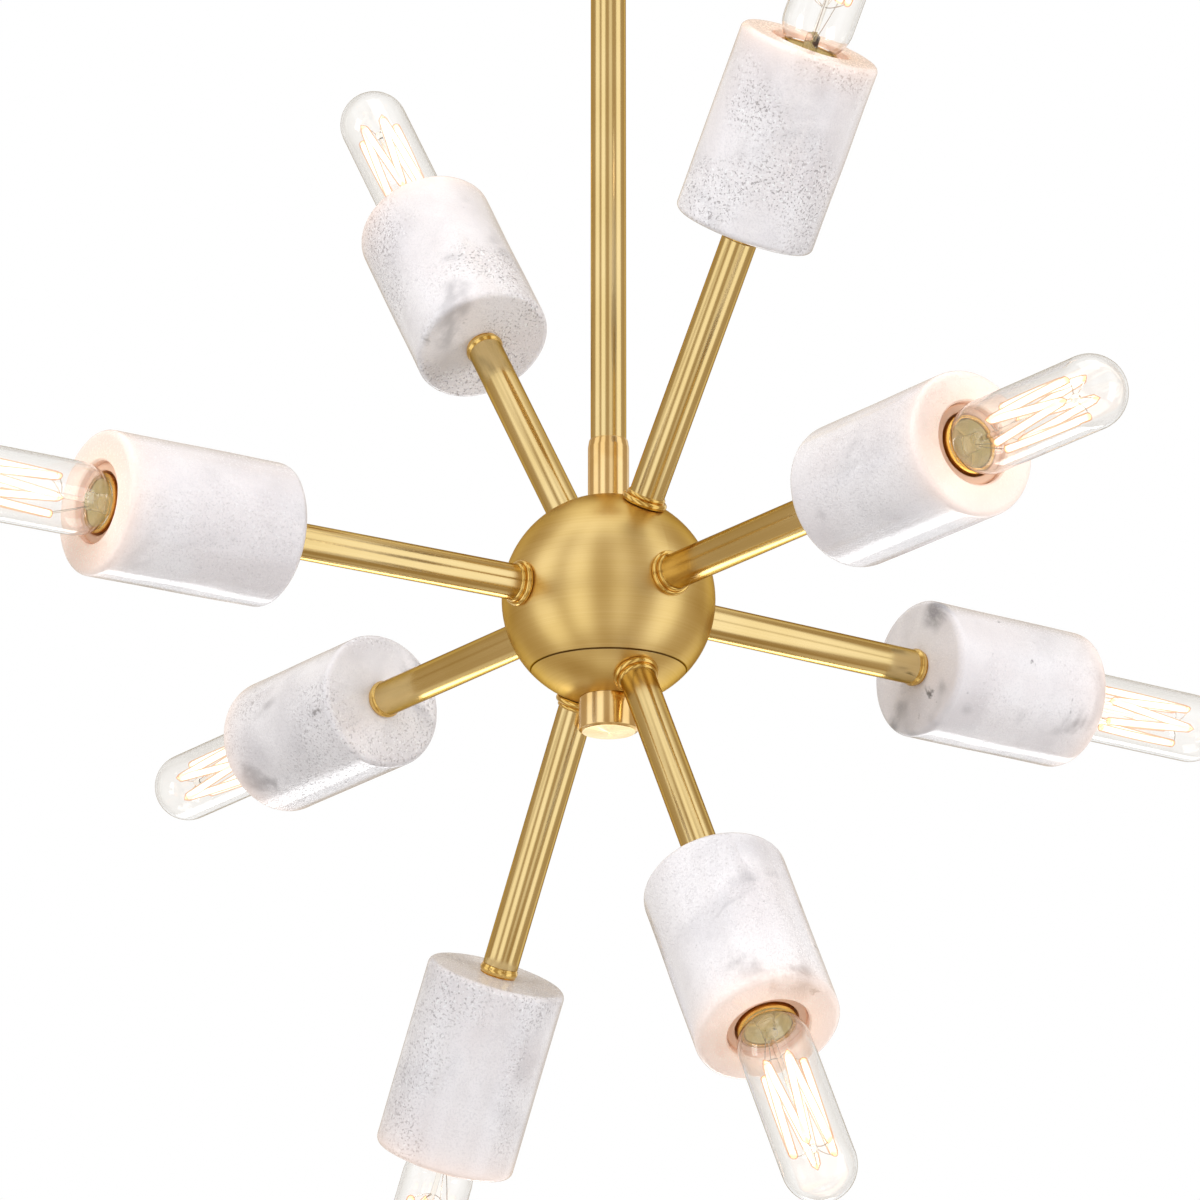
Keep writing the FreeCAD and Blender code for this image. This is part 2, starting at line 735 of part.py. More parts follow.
def make_lamp_base(number):
    """The lamp's brass base: a tip, a tapering insulator and a cup that the neck is set in."""
    socket = "neck_radius + lamp_clearance"
    return aim(turned("bulb_base_%d" % number, [
        ("0", "lamp_tip"),
        ("lamp_tip_diameter / 2", "lamp_tip"),
        ("lamp_tip_diameter / 2", "lamp_tip + lamp_tip_length"),
        ("base_radius", "insulator_top"),
        ("base_radius", "base_top"),
        (socket, "base_top"),
        (socket, "base_top - base_socket"),
        ("0", "base_top - base_socket"),
    ]), number)


def make_lamp_glass(number):
    """A clear tube with a round end, drawn in to a neck at the base."""
    return aim(turned("bulb_glass_%d" % number, [
        ("neck_inner", "neck_start"),
        ("neck_radius", "neck_start"),
        ("neck_radius", "base_top"),
        ("glass_radius", "shoulder_end", "shoulder_bend", 1),
        ("glass_radius", "dome_start"),
        ("0", "glass_end", "glass_radius", 1),
        ("0", "glass_end - glass_wall"),
        ("glass_inner", "dome_start", "glass_inner", -1),
        ("glass_inner", "shoulder_end"),
        ("neck_inner", "base_top", "shoulder_bend", -1),
    ]), number)


def straight_wire(start, finish, width):
    """A six-sided wire from one point to another."""
    run = finish - start
    side = run.cross(Vector(0, 0, 1))
    side = side.normalize() if side.Length > 1e-6 else Vector(1, 0, 0)
    across = run.cross(side).normalize()
    rim = []
    for step in range(7):
        turn = math.radians(60 * (step % 6))
        rim.append(start + side * (width / 2 * math.cos(turn)) + across * (width / 2 * math.sin(turn)))
    return Part.Face(Part.makePolygon(rim)).extrude(run)


def round_point(radius, angle, height):
    turn = math.radians(angle)
    return Vector(radius * math.cos(turn), radius * math.sin(turn), height)


def filament_shape():
    """The glass stem and rod, the wire supports and the zigzag filament, as one solid. The filament
    goes up and down round a ring, and every hook at either end has its own support."""
    foot, low, high = value("neck_start"), value("filament_start"), value("filament_end")
    ring, thin = value("ring_radius"), value("support_width")
    foot_radius = value("neck_inner") - value("lamp_clearance")
    stem_top = foot + value("mount_stem_length")
    stem_radius, rod_radius = value("mount_stem_diameter") / 2, value("mount_rod_diameter") / 2
    bead = value("bead_diameter") / 2
    profile = [(0, foot), (foot_radius, foot), (foot_radius, foot + value("mount_foot")),
               (stem_radius, foot + value("mount_foot")), (stem_radius, stem_top),
               (rod_radius, stem_top), (rod_radius, high - 2 * bead), (bead, high - 2 * bead),
               (bead, high - bead), (0, high - bead)]
    points = [Vector(r, 0, z) for r, z in profile]
    mount = Part.Face(Part.makePolygon(points + points[:1])).revolve(Vector(), Vector(0, 0, 1), 360)
    sweep = 360.0 * (FILAMENT_LEGS - 1) / FILAMENT_LEGS
    hooks = []
    for step in range(FILAMENT_LEGS + 1):
        height = high if step % 2 else low
        hooks.append(round_point(ring, sweep * step / FILAMENT_LEGS, height))
    wires = [straight_wire(a, b, value("filament_width")) for a, b in zip(hooks, hooks[1:])]
    for step, hook in enumerate(hooks):
        angle = sweep * step / FILAMENT_LEGS
        if step % 2:
            root = round_point(rod_radius / 2, angle, high - 1.5 * bead)
        elif step in (0, FILAMENT_LEGS):
            root = round_point(stem_radius / 2, angle, stem_top - thin)
        else:
            root = round_point(rod_radius / 2, angle, low - 2 * bead)
        wires.append(straight_wire(root, hook, thin))
    return mount.fuse(wires)


def make_filament(number, shape):
    node = document.addObject("Part::Feature", "filament_%d" % number)
    node.Label = "filament_%d" % number
    node.Shape = shape
    return aim(node, number)


# ---------------------------------------------------------------- the whole lamp

# The lower cap carries the arms whose nipples pass through the ball below the seam.
LOWER_ARMS = [number for number, (_, elevation) in ARMS.items() if elevation < -value("seam_angle")]
UPPER_ARMS = [number for number in ARMS if number not in LOWER_ARMS]

nodes = [
    make_canopy(),
    make_crossbar(),
    group("canopy_studs", [make_canopy_stud("left", "0 - stud_place"), make_canopy_stud("right", "stud_place")]),
    group("canopy_cap_nuts", [make_cap_nut("left", "0 - stud_place"), make_cap_nut("right", "stud_place")]),
    make_swivel_collar(),
    make_swivel_liner(),
    make_swivel_ball(),
    tapped_tube("stem", "stem_diameter / 2", "stem_bore / 2", "stem_bottom_z", "stem_top_z"),
    make_coupling(),
    make_upper_shell(),
    make_lower_cap(),
    make_finial(),
    stand(sleeve("centre_rod", "pipe_bore / 2", "pipe_radius", "0 - rod_bottom", "rod_top"), "ball_z"),
]

filament = filament_shape()
nipples = [sleeve("top_nipple", "pipe_bore / 2", "pipe_radius",
                  "stem_top_z - tube_thread + thread_clearance", "swivel_z + top_nipple_reach")]
nuts = [stand(hex_nut("rod_nut", "nut_seat - nut_thickness"), "ball_z")]
rings = {"ball_collars": [], "cup_collars": [], "lampholder_bodies": [], "lampholder_shells": [],
         "lampholder_contacts": []}
for number in ARMS:
    tube = tapped_tube("arm_tube_%d" % number, "tube_radius", "tube_bore / 2", "tube_start", "tube_end")
    nodes.append(aim(tube, number))
    nodes.append(make_marble_cup(number))
    nodes.append(make_lamp_base(number))
    nodes.append(make_lamp_glass(number))
    nodes.append(make_filament(number, filament))
    rings["ball_collars"].append(make_ball_collar(number))
    rings["cup_collars"].append(make_cup_collar(number))
    rings["lampholder_bodies"].append(make_lampholder(number))
    shell = sleeve("socket_shell_%d" % number, "shell_inner", "shell_outer", "socket_floor",
                   "socket_floor + shell_length")
    rings["lampholder_shells"].append(aim(shell, number))
    rings["lampholder_contacts"].append(make_contact(number))
    for place in ("ball", "cup"):
        start, end = place + "_nipple_start", place + "_nipple_end"
        nipple = sleeve("%s_nipple_%d" % (place, number), "pipe_bore / 2", "pipe_radius", start, end)
        nipples.append(aim(nipple, number))
    nuts.append(aim(hex_nut("ball_nut_%d" % number, "nut_seat - nut_thickness"), number))
    nuts.append(aim(hex_nut("cup_nut_%d" % number, "cup_bottom"), number))

nodes.extend(group(label, bodies) for label, bodies in rings.items())
nodes.append(group("threaded_nipples", nipples))
nodes.append(group("lock_nuts", nuts))
document.recompute()

for item in document.Objects:
    if "Invalid" in item.State or "Error" in item.State:
        raise ValueError(item.Label + " did not build")
for node in nodes:
    if node.Shape.isNull() or not node.Shape.isValid():
        raise ValueError(node.Label + " is not a sound solid")

os.makedirs("parts", exist_ok=True)
for node in nodes:
    node.Shape.exportStep(os.path.join("parts", node.Label + ".step"))

print("%d nodes with %d solids" % (len(nodes), sum(len(node.Shape.Solids) for node in nodes)))
print("ball centre %.2f mm below the ceiling" % -value("ball_z"))
print("smallest gap between a lamp's glass and its cup: %.2f mm" % value("cup_bore / 2 - glass_radius"))
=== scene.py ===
# %% [markdown]
# # A brass and marble chandelier with eight lamps
# The real object is a brass ball on a stem, with eight arms that end in marble cups, and a clear
# tubular lamp in each cup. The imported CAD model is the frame: this script keeps its sizes and
# places, gives every part a finish, and swaps some plain solids for finer surfaces. Those are
# worked out with numpy, because a turned part is only a profile carried round an axis.

# %% Load the frame
import json
import math

import bpy
import numpy as np
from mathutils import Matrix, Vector

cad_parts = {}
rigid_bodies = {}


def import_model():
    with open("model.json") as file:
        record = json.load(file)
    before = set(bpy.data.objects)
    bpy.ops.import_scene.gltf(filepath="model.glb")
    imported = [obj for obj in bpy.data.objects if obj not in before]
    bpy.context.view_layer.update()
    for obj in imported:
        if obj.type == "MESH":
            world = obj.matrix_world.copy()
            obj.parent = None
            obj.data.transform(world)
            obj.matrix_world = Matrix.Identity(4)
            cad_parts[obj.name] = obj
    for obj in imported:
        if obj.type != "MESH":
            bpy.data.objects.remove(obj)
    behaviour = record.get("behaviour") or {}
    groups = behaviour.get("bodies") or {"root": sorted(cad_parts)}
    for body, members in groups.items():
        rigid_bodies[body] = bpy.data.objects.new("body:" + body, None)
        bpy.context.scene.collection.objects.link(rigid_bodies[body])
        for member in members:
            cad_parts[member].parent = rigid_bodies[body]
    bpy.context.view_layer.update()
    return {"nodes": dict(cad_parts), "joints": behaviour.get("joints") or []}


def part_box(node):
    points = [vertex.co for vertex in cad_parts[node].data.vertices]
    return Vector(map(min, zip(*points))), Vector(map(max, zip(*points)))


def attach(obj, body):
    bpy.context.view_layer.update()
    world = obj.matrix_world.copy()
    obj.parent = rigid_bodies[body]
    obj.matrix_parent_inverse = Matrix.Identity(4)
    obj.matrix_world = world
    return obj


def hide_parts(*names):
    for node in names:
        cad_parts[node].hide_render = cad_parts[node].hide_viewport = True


for stray in list(bpy.data.objects):
    bpy.data.objects.remove(stray)

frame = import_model()
bpy.context.scene.view_settings.view_transform = "Standard"

MM = 0.001
TURN = 2 * math.pi


def placed(name, data):
    """A new object in the scene."""
    made = bpy.data.objects.new(name, data)
    bpy.context.scene.collection.objects.link(made)
    return made


# %% [markdown]
# ## Where the arms are
# Each lamp turns about its arm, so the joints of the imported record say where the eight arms
# point. All eight lines meet at the centre of the ball. The point nearest to all of them is found
# by least squares, so nothing here has to be changed when an arm is moved in the CAD source.

# %% The arms' axes
turns = [joint for joint in frame["joints"] if joint["name"].endswith("_turn")]
ARM_NUMBERS = [int(joint["name"].split("_")[1]) for joint in turns]
directions = np.array([joint["axis"] for joint in turns], float)
directions /= np.linalg.norm(directions, axis=1, keepdims=True)
points_on_axes = np.array([joint["pos_m"] for joint in turns], float)
across = np.eye(3) - directions[:, :, None] * directions[:, None, :]
ball_centre = np.linalg.solve(across.sum(0), np.einsum("nij,nj->i", across, points_on_axes))
print("ball centre:", ball_centre.round(5), "arms:", len(ARM_NUMBERS))


# %% [markdown]
# ## A line to turn parts on
# A lathe needs an axis. `Axis` keeps its origin, the direction along it and two directions across
# it, and puts a whole array of (radius, angle, distance) into the frame at once. Sizes are read
# off the CAD nodes in the same terms.

# %% Axis
class Axis:
    """A line in space with two directions across it."""

    def __init__(self, origin, along):
        self.origin = np.asarray(origin, float)
        self.along = np.asarray(along, float)
        level = np.cross((0, 0, 1), self.along)
        length = np.linalg.norm(level)
        self.across = level / length if length > 1e-6 else np.array((0.0, 1, 0))
        self.side = np.cross(self.across, self.along)

    def place(self, radius, angle, distance):
        """Point = origin + radius (cos angle side + sin angle across) + distance along, in mm."""
        radius, angle, distance = np.broadcast_arrays(radius, angle, distance)
        spread = np.cos(angle)[..., None] * self.side + np.sin(angle)[..., None] * self.across
        return self.origin + MM * (radius[..., None] * spread + distance[..., None] * self.along)

    def reach(self, node):
        """Lowest and highest distance along the axis, and largest radius, of a CAD node, in mm."""
        mesh = frame["nodes"][node].data
        found = np.empty(len(mesh.vertices) * 3, np.float32)
        mesh.vertices.foreach_get("co", found)
        offset = (found.reshape(-1, 3) - self.origin) / MM
        distance = offset @ self.along
        radius = np.linalg.norm(offset - distance[:, None] * self.along, axis=1)
        return distance.min(), distance.max(), radius.max()


ARMS = {number: Axis(ball_centre, along) for number, along in zip(ARM_NUMBERS, directions)}
STEM_LINE = Axis(ball_centre, (0, 0, 1))

# %% [markdown]
# ## The camera
# The photograph is taken from far away with a long lens, a little below the lamp, so its far and
# near cups are almost the same size. The camera stands on that line and moves a few millimetres
# to the left, which puts the ball where it is in the picture without any lens shift.

# %% Camera
VIEW_AZIMUTH, VIEW_ELEVATION = math.radians(55), math.radians(-17)
CAMERA_DISTANCE = 3.33
CAMERA_LEFT = 0.0038
LENS_MM, SENSOR_MM = 225, 36

to_camera = np.array((
    math.sin(VIEW_AZIMUTH) * math.cos(VIEW_ELEVATION),
    -math.cos(VIEW_AZIMUTH) * math.cos(VIEW_ELEVATION),
    math.sin(VIEW_ELEVATION),
))
to_right = np.array((math.cos(VIEW_AZIMUTH), math.sin(VIEW_AZIMUTH), 0))
camera = placed("camera", bpy.data.cameras.new("camera"))
bpy.context.scene.camera = camera
camera.data.lens, camera.data.sensor_width = LENS_MM, SENSOR_MM
camera.data.clip_end = 100
camera.location = ball_centre + to_camera * CAMERA_DISTANCE - to_right * CAMERA_LEFT
camera.rotation_euler = Vector(-to_camera).to_track_quat("-Z", "Y").to_euler()
print("camera at", [round(v, 3) for v in camera.location])


# %% [markdown]
# ## Writing a finish as sums
# Shader nodes read like wiring. Wrapping a socket in a small class lets a pattern be written as a
# formula instead: `1 - cloud * 0.4` adds the Math nodes by itself. Every other node comes from
# one method, `add`, which takes the kind of node, what goes into its sockets, and its settings.

# %% Values and finishes
class Value:
    """An output socket. Arithmetic on it adds Math nodes to the same tree."""

    def __init__(self, finish, socket):
        self.finish, self.socket = finish, socket

    def math(self, operation, first, second=0.0, clamp=False):
        return self.finish.add("Math", {0: first, 1: second}, operation=operation, use_clamp=clamp)

    def __add__(self, other):
        return self.math("ADD", self, other)

    def __sub__(self, other):
        return self.math("SUBTRACT", self, other)

    def __rsub__(self, other):
        return self.math("SUBTRACT", other, self)

    def __mul__(self, other):
        return self.math("MULTIPLY", self, other)

    def __abs__(self):
        return self.math("ABSOLUTE", self)

    __radd__, __rmul__ = __add__, __mul__

    def clamped(self):
        return self.math("ADD", self, 0.0, clamp=True)

    def rise(self, low, high):
        """0 below low, 1 above high, and a smooth step between them."""
        limits = {"Value": self, "From Min": low, "From Max": high}
        return self.finish.add("MapRange", limits, interpolation_type="SMOOTHSTEP")


class Finish:
    """A node tree, of a material or of the world, and one way to add a node to it."""

    def __init__(self, owner):
        owner.use_nodes = True
        self.owner, self.tree = owner, owner.node_tree
        self.tree.nodes.clear()

    def add(self, kind, inputs=None, output=0, **settings):
        """A node with its settings, then the values or links of its sockets, by name or number."""
        node = self.tree.nodes.new("ShaderNode" + kind)
        for name, setting in settings.items():
            setattr(node, name, setting)
        for name, given in (inputs or {}).items():
            if isinstance(given, Value):
                self.tree.links.new(given.socket, node.inputs[name])
            else:
                node.inputs[name].default_value = given
        return Value(self, node.outputs[output]) if node.outputs else None

    def mix(self, factor, first, second):
        """A colour between two colours."""
        return self.add("Mix", {0: factor, 6: first, 7: second}, output=2, data_type="RGBA")

    def blend(self, factor, first, second):
        """A shader between two shaders."""
        return self.add("MixShader", {0: factor, 1: first, 2: second})

    def position(self, stretch=(1, 1, 1)):
        """Object coordinates in metres, stretched."""
        place = self.add("TexCoord", output="Object")
        return self.add("Mapping", {"Vector": place, "Scale": stretch})

    def turned_map(self, stretch):
        """The UV map of a turned part: times round it, and metres along it."""
        place = self.add("UVMap", uv_map="turned")
        return self.add("Mapping", {"Vector": place, "Scale": stretch})

    def noise(self, vector, scale, **more):
        """Noise at a place, with its scale. Its other sockets are given by name, such as detail."""
        named = {name.capitalize(): given for name, given in more.items()}
        return self.add("TexNoise", {"Vector": vector, "Scale": scale, **named})

    def bump(self, height, depth, strength):
        """A normal from a height, with its depth in metres."""
        return self.add("Bump", {"Height": height, "Distance": depth, "Strength": strength})

    def painted(self, name):
        """A number that the mesh holds for each of its points."""
        return self.add("Attribute", output=2, attribute_name=name)

    def rays(self, *kinds):
        """1 for the kinds of ray that are named, such as Camera, and else 0."""
        return [self.add("LightPath", output=f"Is {kind} Ray") for kind in kinds]

    def surface(self, **inputs):
        """The Principled shader, wired to the output."""
        named = {name.replace("_", " "): given for name, given in inputs.items()}
        shader = self.add("BsdfPrincipled", named)
        self.add("OutputMaterial", {"Surface": shader})
        return self.owner


def finish_named(name):
    return Finish(bpy.data.materials.new(name))


def colour(red, green, blue):
    """A colour from display values of 0 to 255, as the linear numbers that a socket takes."""
    shares = np.array((red, green, blue)) / 255
    linear = np.where(shares <= 0.04045, shares / 12.92, ((shares + 0.055) / 1.055) ** 2.4)
    return (*[float(v) for v in linear], 1.0)


# %% [markdown]
# ## Satin brass
# The ball, the stem and the arms are brushed and lacquered brass: yellow gold, a little uneven in
# tone, with hair-fine lines left by the abrasive. On the ball the lines run round it, level, and
# on a tube they run along it. A noise that is stretched far along one direction gives such lines.
# They go to the colour, the roughness and a very low bump.

# %% Satin brass
GOLD_LIGHT, GOLD_DEEP = colour(229, 205, 150), colour(220, 194, 134)
BALL_LIGHT, BALL_DEEP = colour(240, 212, 148), colour(226, 195, 124)
EDGE_TINT = colour(206, 180, 128)
GROOVE_PAINTED_SHADE = colour(96, 70, 36)


def satin_brass(name, fine_lines, light, deep, roughness, depth, seam_z=0.0):
    """Brushed brass. fine_lines gives coordinates stretched along the lines. Where there is a seam,
    the groove at that height gets a dark line of painted shade."""
    finish = finish_named(name)
    lines = finish.noise(fine_lines(finish), 1.0, detail=3.0, roughness=0.6)
    tone = finish.noise(finish.position(), 22.0, detail=3.0)
    brass = finish.mix((tone * 0.6 + lines * 0.4).rise(0.3, 0.7), deep, light)
    if seam_z:
        # Painted shade: a dark line along the seam's groove.
        height = finish.add("SeparateXYZ", {0: finish.position()}, output="Z")
        brass = finish.mix(abs(height - seam_z).rise(0.00015, 0.0005), GROOVE_PAINTED_SHADE, brass)
    return finish.surface(
        Base_Color=brass,
        Specular_Tint=EDGE_TINT,
        Metallic=1.0,
        Roughness=roughness + lines * 0.06 + tone * 0.05,
        Normal=finish.bump(lines, depth, 0.3),
    )


SEAM_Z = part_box("upper_shell")[0][2]
BALL_BRASS = satin_brass(
    "satin_brass_ball", lambda f: f.position(stretch=(9, 9, 2200)),
    BALL_LIGHT, BALL_DEEP, 0.27, 0.000012, SEAM_Z)
TUBE_BRASS = satin_brass(
    "satin_brass_tube", lambda f: f.turned_map((70, 5, 1)), GOLD_LIGHT, GOLD_DEEP, 0.11, 0.000008)
print("satin brass ready")

# %% [markdown]
# ## Polished brass
# The coupling, the finial and the small beads are polished, and look rosier beside the satin
# tubes. Polished metal is never even: a slow wave in its roughness breaks the reflections a
# little, and a few fine turning lines stay.

# %% Polished brass
def polished_brass(name, light, deep, roughness):
    finish = finish_named(name)
    wave = finish.noise(finish.position(), 60.0, detail=2.0)
    turning = finish.noise(finish.turned_map((1.5, 3800, 1)), 1.0, detail=2.0)
    return finish.surface(
        Base_Color=finish.mix(wave.rise(0.35, 0.65), deep, light),
        Metallic=1.0,
        Roughness=roughness + wave * 0.05 + turning * 0.03,
        Normal=finish.bump(turning, 0.000012, 0.25),
    )


ROSE_BRASS = polished_brass("polished_brass_rose", colour(238, 207, 150), colour(229, 192, 128), 0.12)
BEAD_BRASS = polished_brass("polished_brass_bead", colour(234, 200, 124), colour(218, 178, 96), 0.08)
print("polished brass ready")

# %% [markdown]
# ## Marble
# The cups are turned from white marble and only honed, so the stone shows its grain: pale crystals
# with tiny pits between them, soft grey clouds, and here and there a short dark vein or spot. A
# block of stone is solid, so its pattern reads Object coordinates and runs through each cup, and
# every cup takes another part of the block. The pits are painted darker, as painted shade in them,
# and white dots on the crystals are painted glints. The lamp's light that sinks into the stone round
# the bore is painted on, as a peach colour and a faint glow. It's worked out further down for each
# point of the cup, and read here as an attribute, and so is how grainy and how veined each cup is.

# %% Marble
STONE_WHITE, STONE_CLOUD, STONE_ROSE = colour(245, 241, 242), colour(212, 208, 211), colour(231, 222, 222)
STONE_VEIN, STONE_SPOT, PAINTED_PIT_SHADE = colour(148, 145, 149), colour(96, 92, 94), colour(140, 132, 132)
# The colour of the painted lamp light on the stone.
PAINTED_LAMP_PEACH = colour(255, 231, 214)


def make_marble():
    """Clouds, veins, spots, crystals and pits, each a noise with its own scale and cut."""
    finish = finish_named("honed_marble")
    place = finish.position()
    cloud = finish.noise(place, 27.0, detail=4.0, roughness=0.55, distortion=0.3).rise(0.4, 0.74)
    rosy = finish.noise(place, 19.0, detail=2.0).rise(0.4, 0.65)
    ridge = 1 - abs(finish.noise(place, 13.0, detail=5.0, roughness=0.6, distortion=0.6) * 2 - 1)
    patch = finish.noise(place, 30.0, detail=2.0).rise(0.52, 0.68)
    veined, grainy = finish.painted("stone_veins"), finish.painted("stone_grain")
    vein = ridge.rise(0.84, 0.995) * patch * veined
    spot = finish.noise(place, 75.0, detail=4.0, roughness=0.6, distortion=0.5).rise(0.67, 0.77) * veined
    crystal = finish.noise(place, 1000.0, detail=2.0, roughness=0.7)
    grained = finish.noise(place, 24.0, detail=1.0).rise(0.34, 0.6) * grainy
    pit = finish.noise(place, 900.0, detail=1.0, roughness=0.6).rise(0.55, 0.68) * grained
    painted_glint = finish.noise(place, 760.0, detail=1.0).rise(0.6, 0.7) * grained
    stone = finish.mix(cloud * 0.75, STONE_WHITE, STONE_CLOUD)
    stone = finish.mix(rosy * 0.5, stone, STONE_ROSE)
    stone = finish.mix(crystal.rise(0.48, 0.72) * 0.55, stone, STONE_CLOUD)
    # Painted shade: the tiny pits are darker.
    stone = finish.mix(pit * 0.65, stone, PAINTED_PIT_SHADE)
    # Painted glints: white highlight dots on the crystals.
    stone = finish.mix(painted_glint * 0.8, stone, (1, 1, 1, 1))
    stone = finish.mix((vein * 0.9).clamped(), stone, STONE_VEIN)
    stone = finish.mix((spot * 0.9).clamped(), stone, STONE_SPOT)
    # Painted lamp light: the stone turns peach and glows faintly round the bore.
    painted_lamp_share = finish.painted("lamp_warmth")
    return finish.surface(
        Base_Color=finish.mix((painted_lamp_share * 0.8).clamped(), stone, PAINTED_LAMP_PEACH),
        Roughness=0.2 + crystal * 0.12 + pit * 0.3,
        Emission_Color=finish.mix(painted_lamp_share.clamped(), (0, 0, 0, 1), colour(255, 206, 174)),
        Emission_Strength=0.3,
        Normal=finish.bump(crystal * 0.6 - pit, 0.0006, 0.5),
        Coat_Weight=0.6 * (1 - pit),
        Coat_Roughness=0.03,
    )


MARBLE = make_marble()
print("marble ready")

# %% [markdown]
# ## Small finishes
# The lampholder is unglazed porcelain, the lamp's cap and the holder's thread are plain brass, and
# the ceiling hardware is zinc-plated steel. Each has its own slight unevenness. The porcelain near
# the bore gets the same painted lamp light as the stone: an orange colour and a faint glow.

# %% Porcelain, plain brass, steel and nylon
def make_porcelain():
    finish = finish_named("porcelain")
    grain = finish.noise(finish.position(), 700.0, detail=2.0)
    tone = finish.noise(finish.position(), 40.0)
    # Painted lamp light: the porcelain turns orange and glows faintly near the bore.
    painted_lamp_share = finish.painted("lamp_warmth")
    base = finish.mix(tone, colour(236, 226, 216), colour(222, 210, 198))
    return finish.surface(
        Base_Color=finish.mix((painted_lamp_share * 0.8).clamped(), base, colour(240, 180, 132)),
        Roughness=0.38 + grain * 0.12,
        Emission_Color=finish.mix(painted_lamp_share.clamped(), (0, 0, 0, 1), colour(255, 170, 110)),
        Emission_Strength=0.12,
        Normal=finish.bump(grain, 0.00004, 0.4),
    )


def plain_metal(name, light, dark, roughness, spread):
    """A plain metal with soft blotches and fine random scratches."""
    finish = finish_named(name)
    blotch = finish.noise(finish.position(), 55.0, detail=3.0)
    scratch = finish.noise(finish.position(stretch=(700, 60, 700)), 1.0, detail=2.0)
    return finish.surface(
        Base_Color=finish.mix(blotch.rise(0.3, 0.7), dark, light),
        Metallic=1.0,
        Roughness=roughness + blotch * spread + scratch * 0.05,
        Normal=finish.bump(scratch, 0.00001, 0.3),
    )


def make_nylon():
    finish = finish_named("nylon")
    cloudy = finish.noise(finish.position(), 80.0)
    return finish.surface(
        Base_Color=finish.mix(cloudy, colour(222, 220, 214), colour(206, 204, 198)),
        Roughness=0.4 + cloudy * 0.15,
    )


PORCELAIN, NYLON = make_porcelain(), make_nylon()
PLAIN_BRASS = plain_metal("plain_brass", colour(214, 156, 76), colour(168, 108, 42), 0.22, 0.12)
ZINC_STEEL = plain_metal("zinc_steel", colour(196, 198, 202), colour(168, 170, 176), 0.3, 0.15)
print("small finishes ready")

# %% [markdown]
# ## Glass and light
# The lamps are clear soda glass around a zigzag of hot wire. Glass is the Principled shader with
# full transmission. Drawn tubing is never quite even, so the grey that it has edge on isn't
# either. The wire is white hot in the middle of each leg and more orange towards the hooks that
# hold it, because they draw its heat away.

# %% Glass and glowing wire
def make_glass(name, clear, edge, waves):
    """Clear glass. Seen edge on, light goes a long way through it, so it looks greyer there."""
    finish = finish_named(name)
    wave = finish.noise(finish.position(), waves, detail=1.0)
    grazing = finish.add("LayerWeight", {"Blend": 0.5}, output="Facing")
    return finish.surface(
        Base_Color=finish.mix((grazing + wave * 0.1).rise(0.3, 1.05), clear, edge),
        Roughness=0.0,
        IOR=1.47,
        Transmission_Weight=1.0,
    )


def make_hot_wire():
    finish = finish_named("hot_wire")
    heat = finish.painted("wire_heat")
    return finish.surface(
        Base_Color=colour(90, 60, 40),
        Roughness=0.6,
        Emission_Color=finish.mix(heat.rise(0.0, 0.5), colour(255, 186, 120), colour(255, 244, 230)),
        Emission_Strength=5.0,
    )


def make_glow():
    """The bloom round the wire: half clear, and the colour of a peach."""
    finish = finish_named("wire_glow")
    heat = finish.painted("wire_heat")
    return finish.surface(
        Base_Color=(0, 0, 0, 1),
        Roughness=1.0,
        Specular_IOR_Level=0.0,
        Alpha=0.45 + heat * 0.2,
        Emission_Color=finish.mix(heat, colour(250, 170, 116), colour(255, 208, 170)),
        Emission_Strength=1.0,
    )


LAMP_GLASS = make_glass("clear_glass", (0.988, 0.978, 0.962, 1), (0.69, 0.67, 0.64, 1), 30.0)
STEM_GLASS = make_glass("stem_glass", (0.99, 0.965, 0.92, 1), (0.34, 0.29, 0.23, 1), 160.0)
HOT_WIRE, GLOW = make_hot_wire(), make_glow()
for material in (HOT_WIRE, GLOW):
    material.cycles.emission_sampling = "NONE"
NICKEL = plain_metal("nickel_wire", colour(206, 196, 184), colour(170, 158, 146), 0.2, 0.1)
print("glass and wire ready")


# %% [markdown]
# ## Surfaces from arrays
# A turned part is a profile of (radius, distance) points carried round an axis. The two
# parameters are the place on the profile and the angle, so the whole surface is one array with
# no loop over its points. Its UV map counts turns round the part and metres along the profile.
# Corners of a profile are rounded before it's turned, because every real edge catches light.

# %% Profiles
def rounded(corners, steps=5):
    """A polyline whose corners (x, y, radius) become arcs.

    At a corner the arc touches both runs at radius * tan(half the turn) from it. Its points come
    from sliding the direction evenly from one run's to the other's."""
    xy = np.array([c[:2] for c in corners], float)
    radii = np.array([c[2] if len(c) > 2 else 0.0 for c in corners], float)
    made = [xy[:1]]
    for before, here, after, radius in zip(xy, xy[1:], xy[2:], radii[1:]):
        come, leave = here - before, after - here
        come, leave = come / np.linalg.norm(come), leave / np.linalg.norm(leave)
        turn = math.atan2(come[0] * leave[1] - come[1] * leave[0], come @ leave)
        if radius <= 0 or abs(turn) < 1e-3:
            made.append(here[None])
            continue
        start = here - come * radius * math.tan(abs(turn) / 2)
        heading = math.atan2(come[1], come[0]) + turn * np.linspace(0, 1, steps + 1)
        sideways = np.stack([-np.sin(heading), np.cos(heading)], 1) * math.copysign(radius, turn)
        made.append(start + sideways[:1] - sideways)
    made.append(xy[-1:])
    return np.concatenate(made)


def arc(centre, radius, first, last, steps=12):
    """Profile points on a circle: centre + radius (cos a, sin a), a in degrees from first to last."""
    a = np.radians(np.linspace(first, last, steps + 1))
    return np.array(centre) + radius * np.stack([np.cos(a), np.sin(a)], 1)


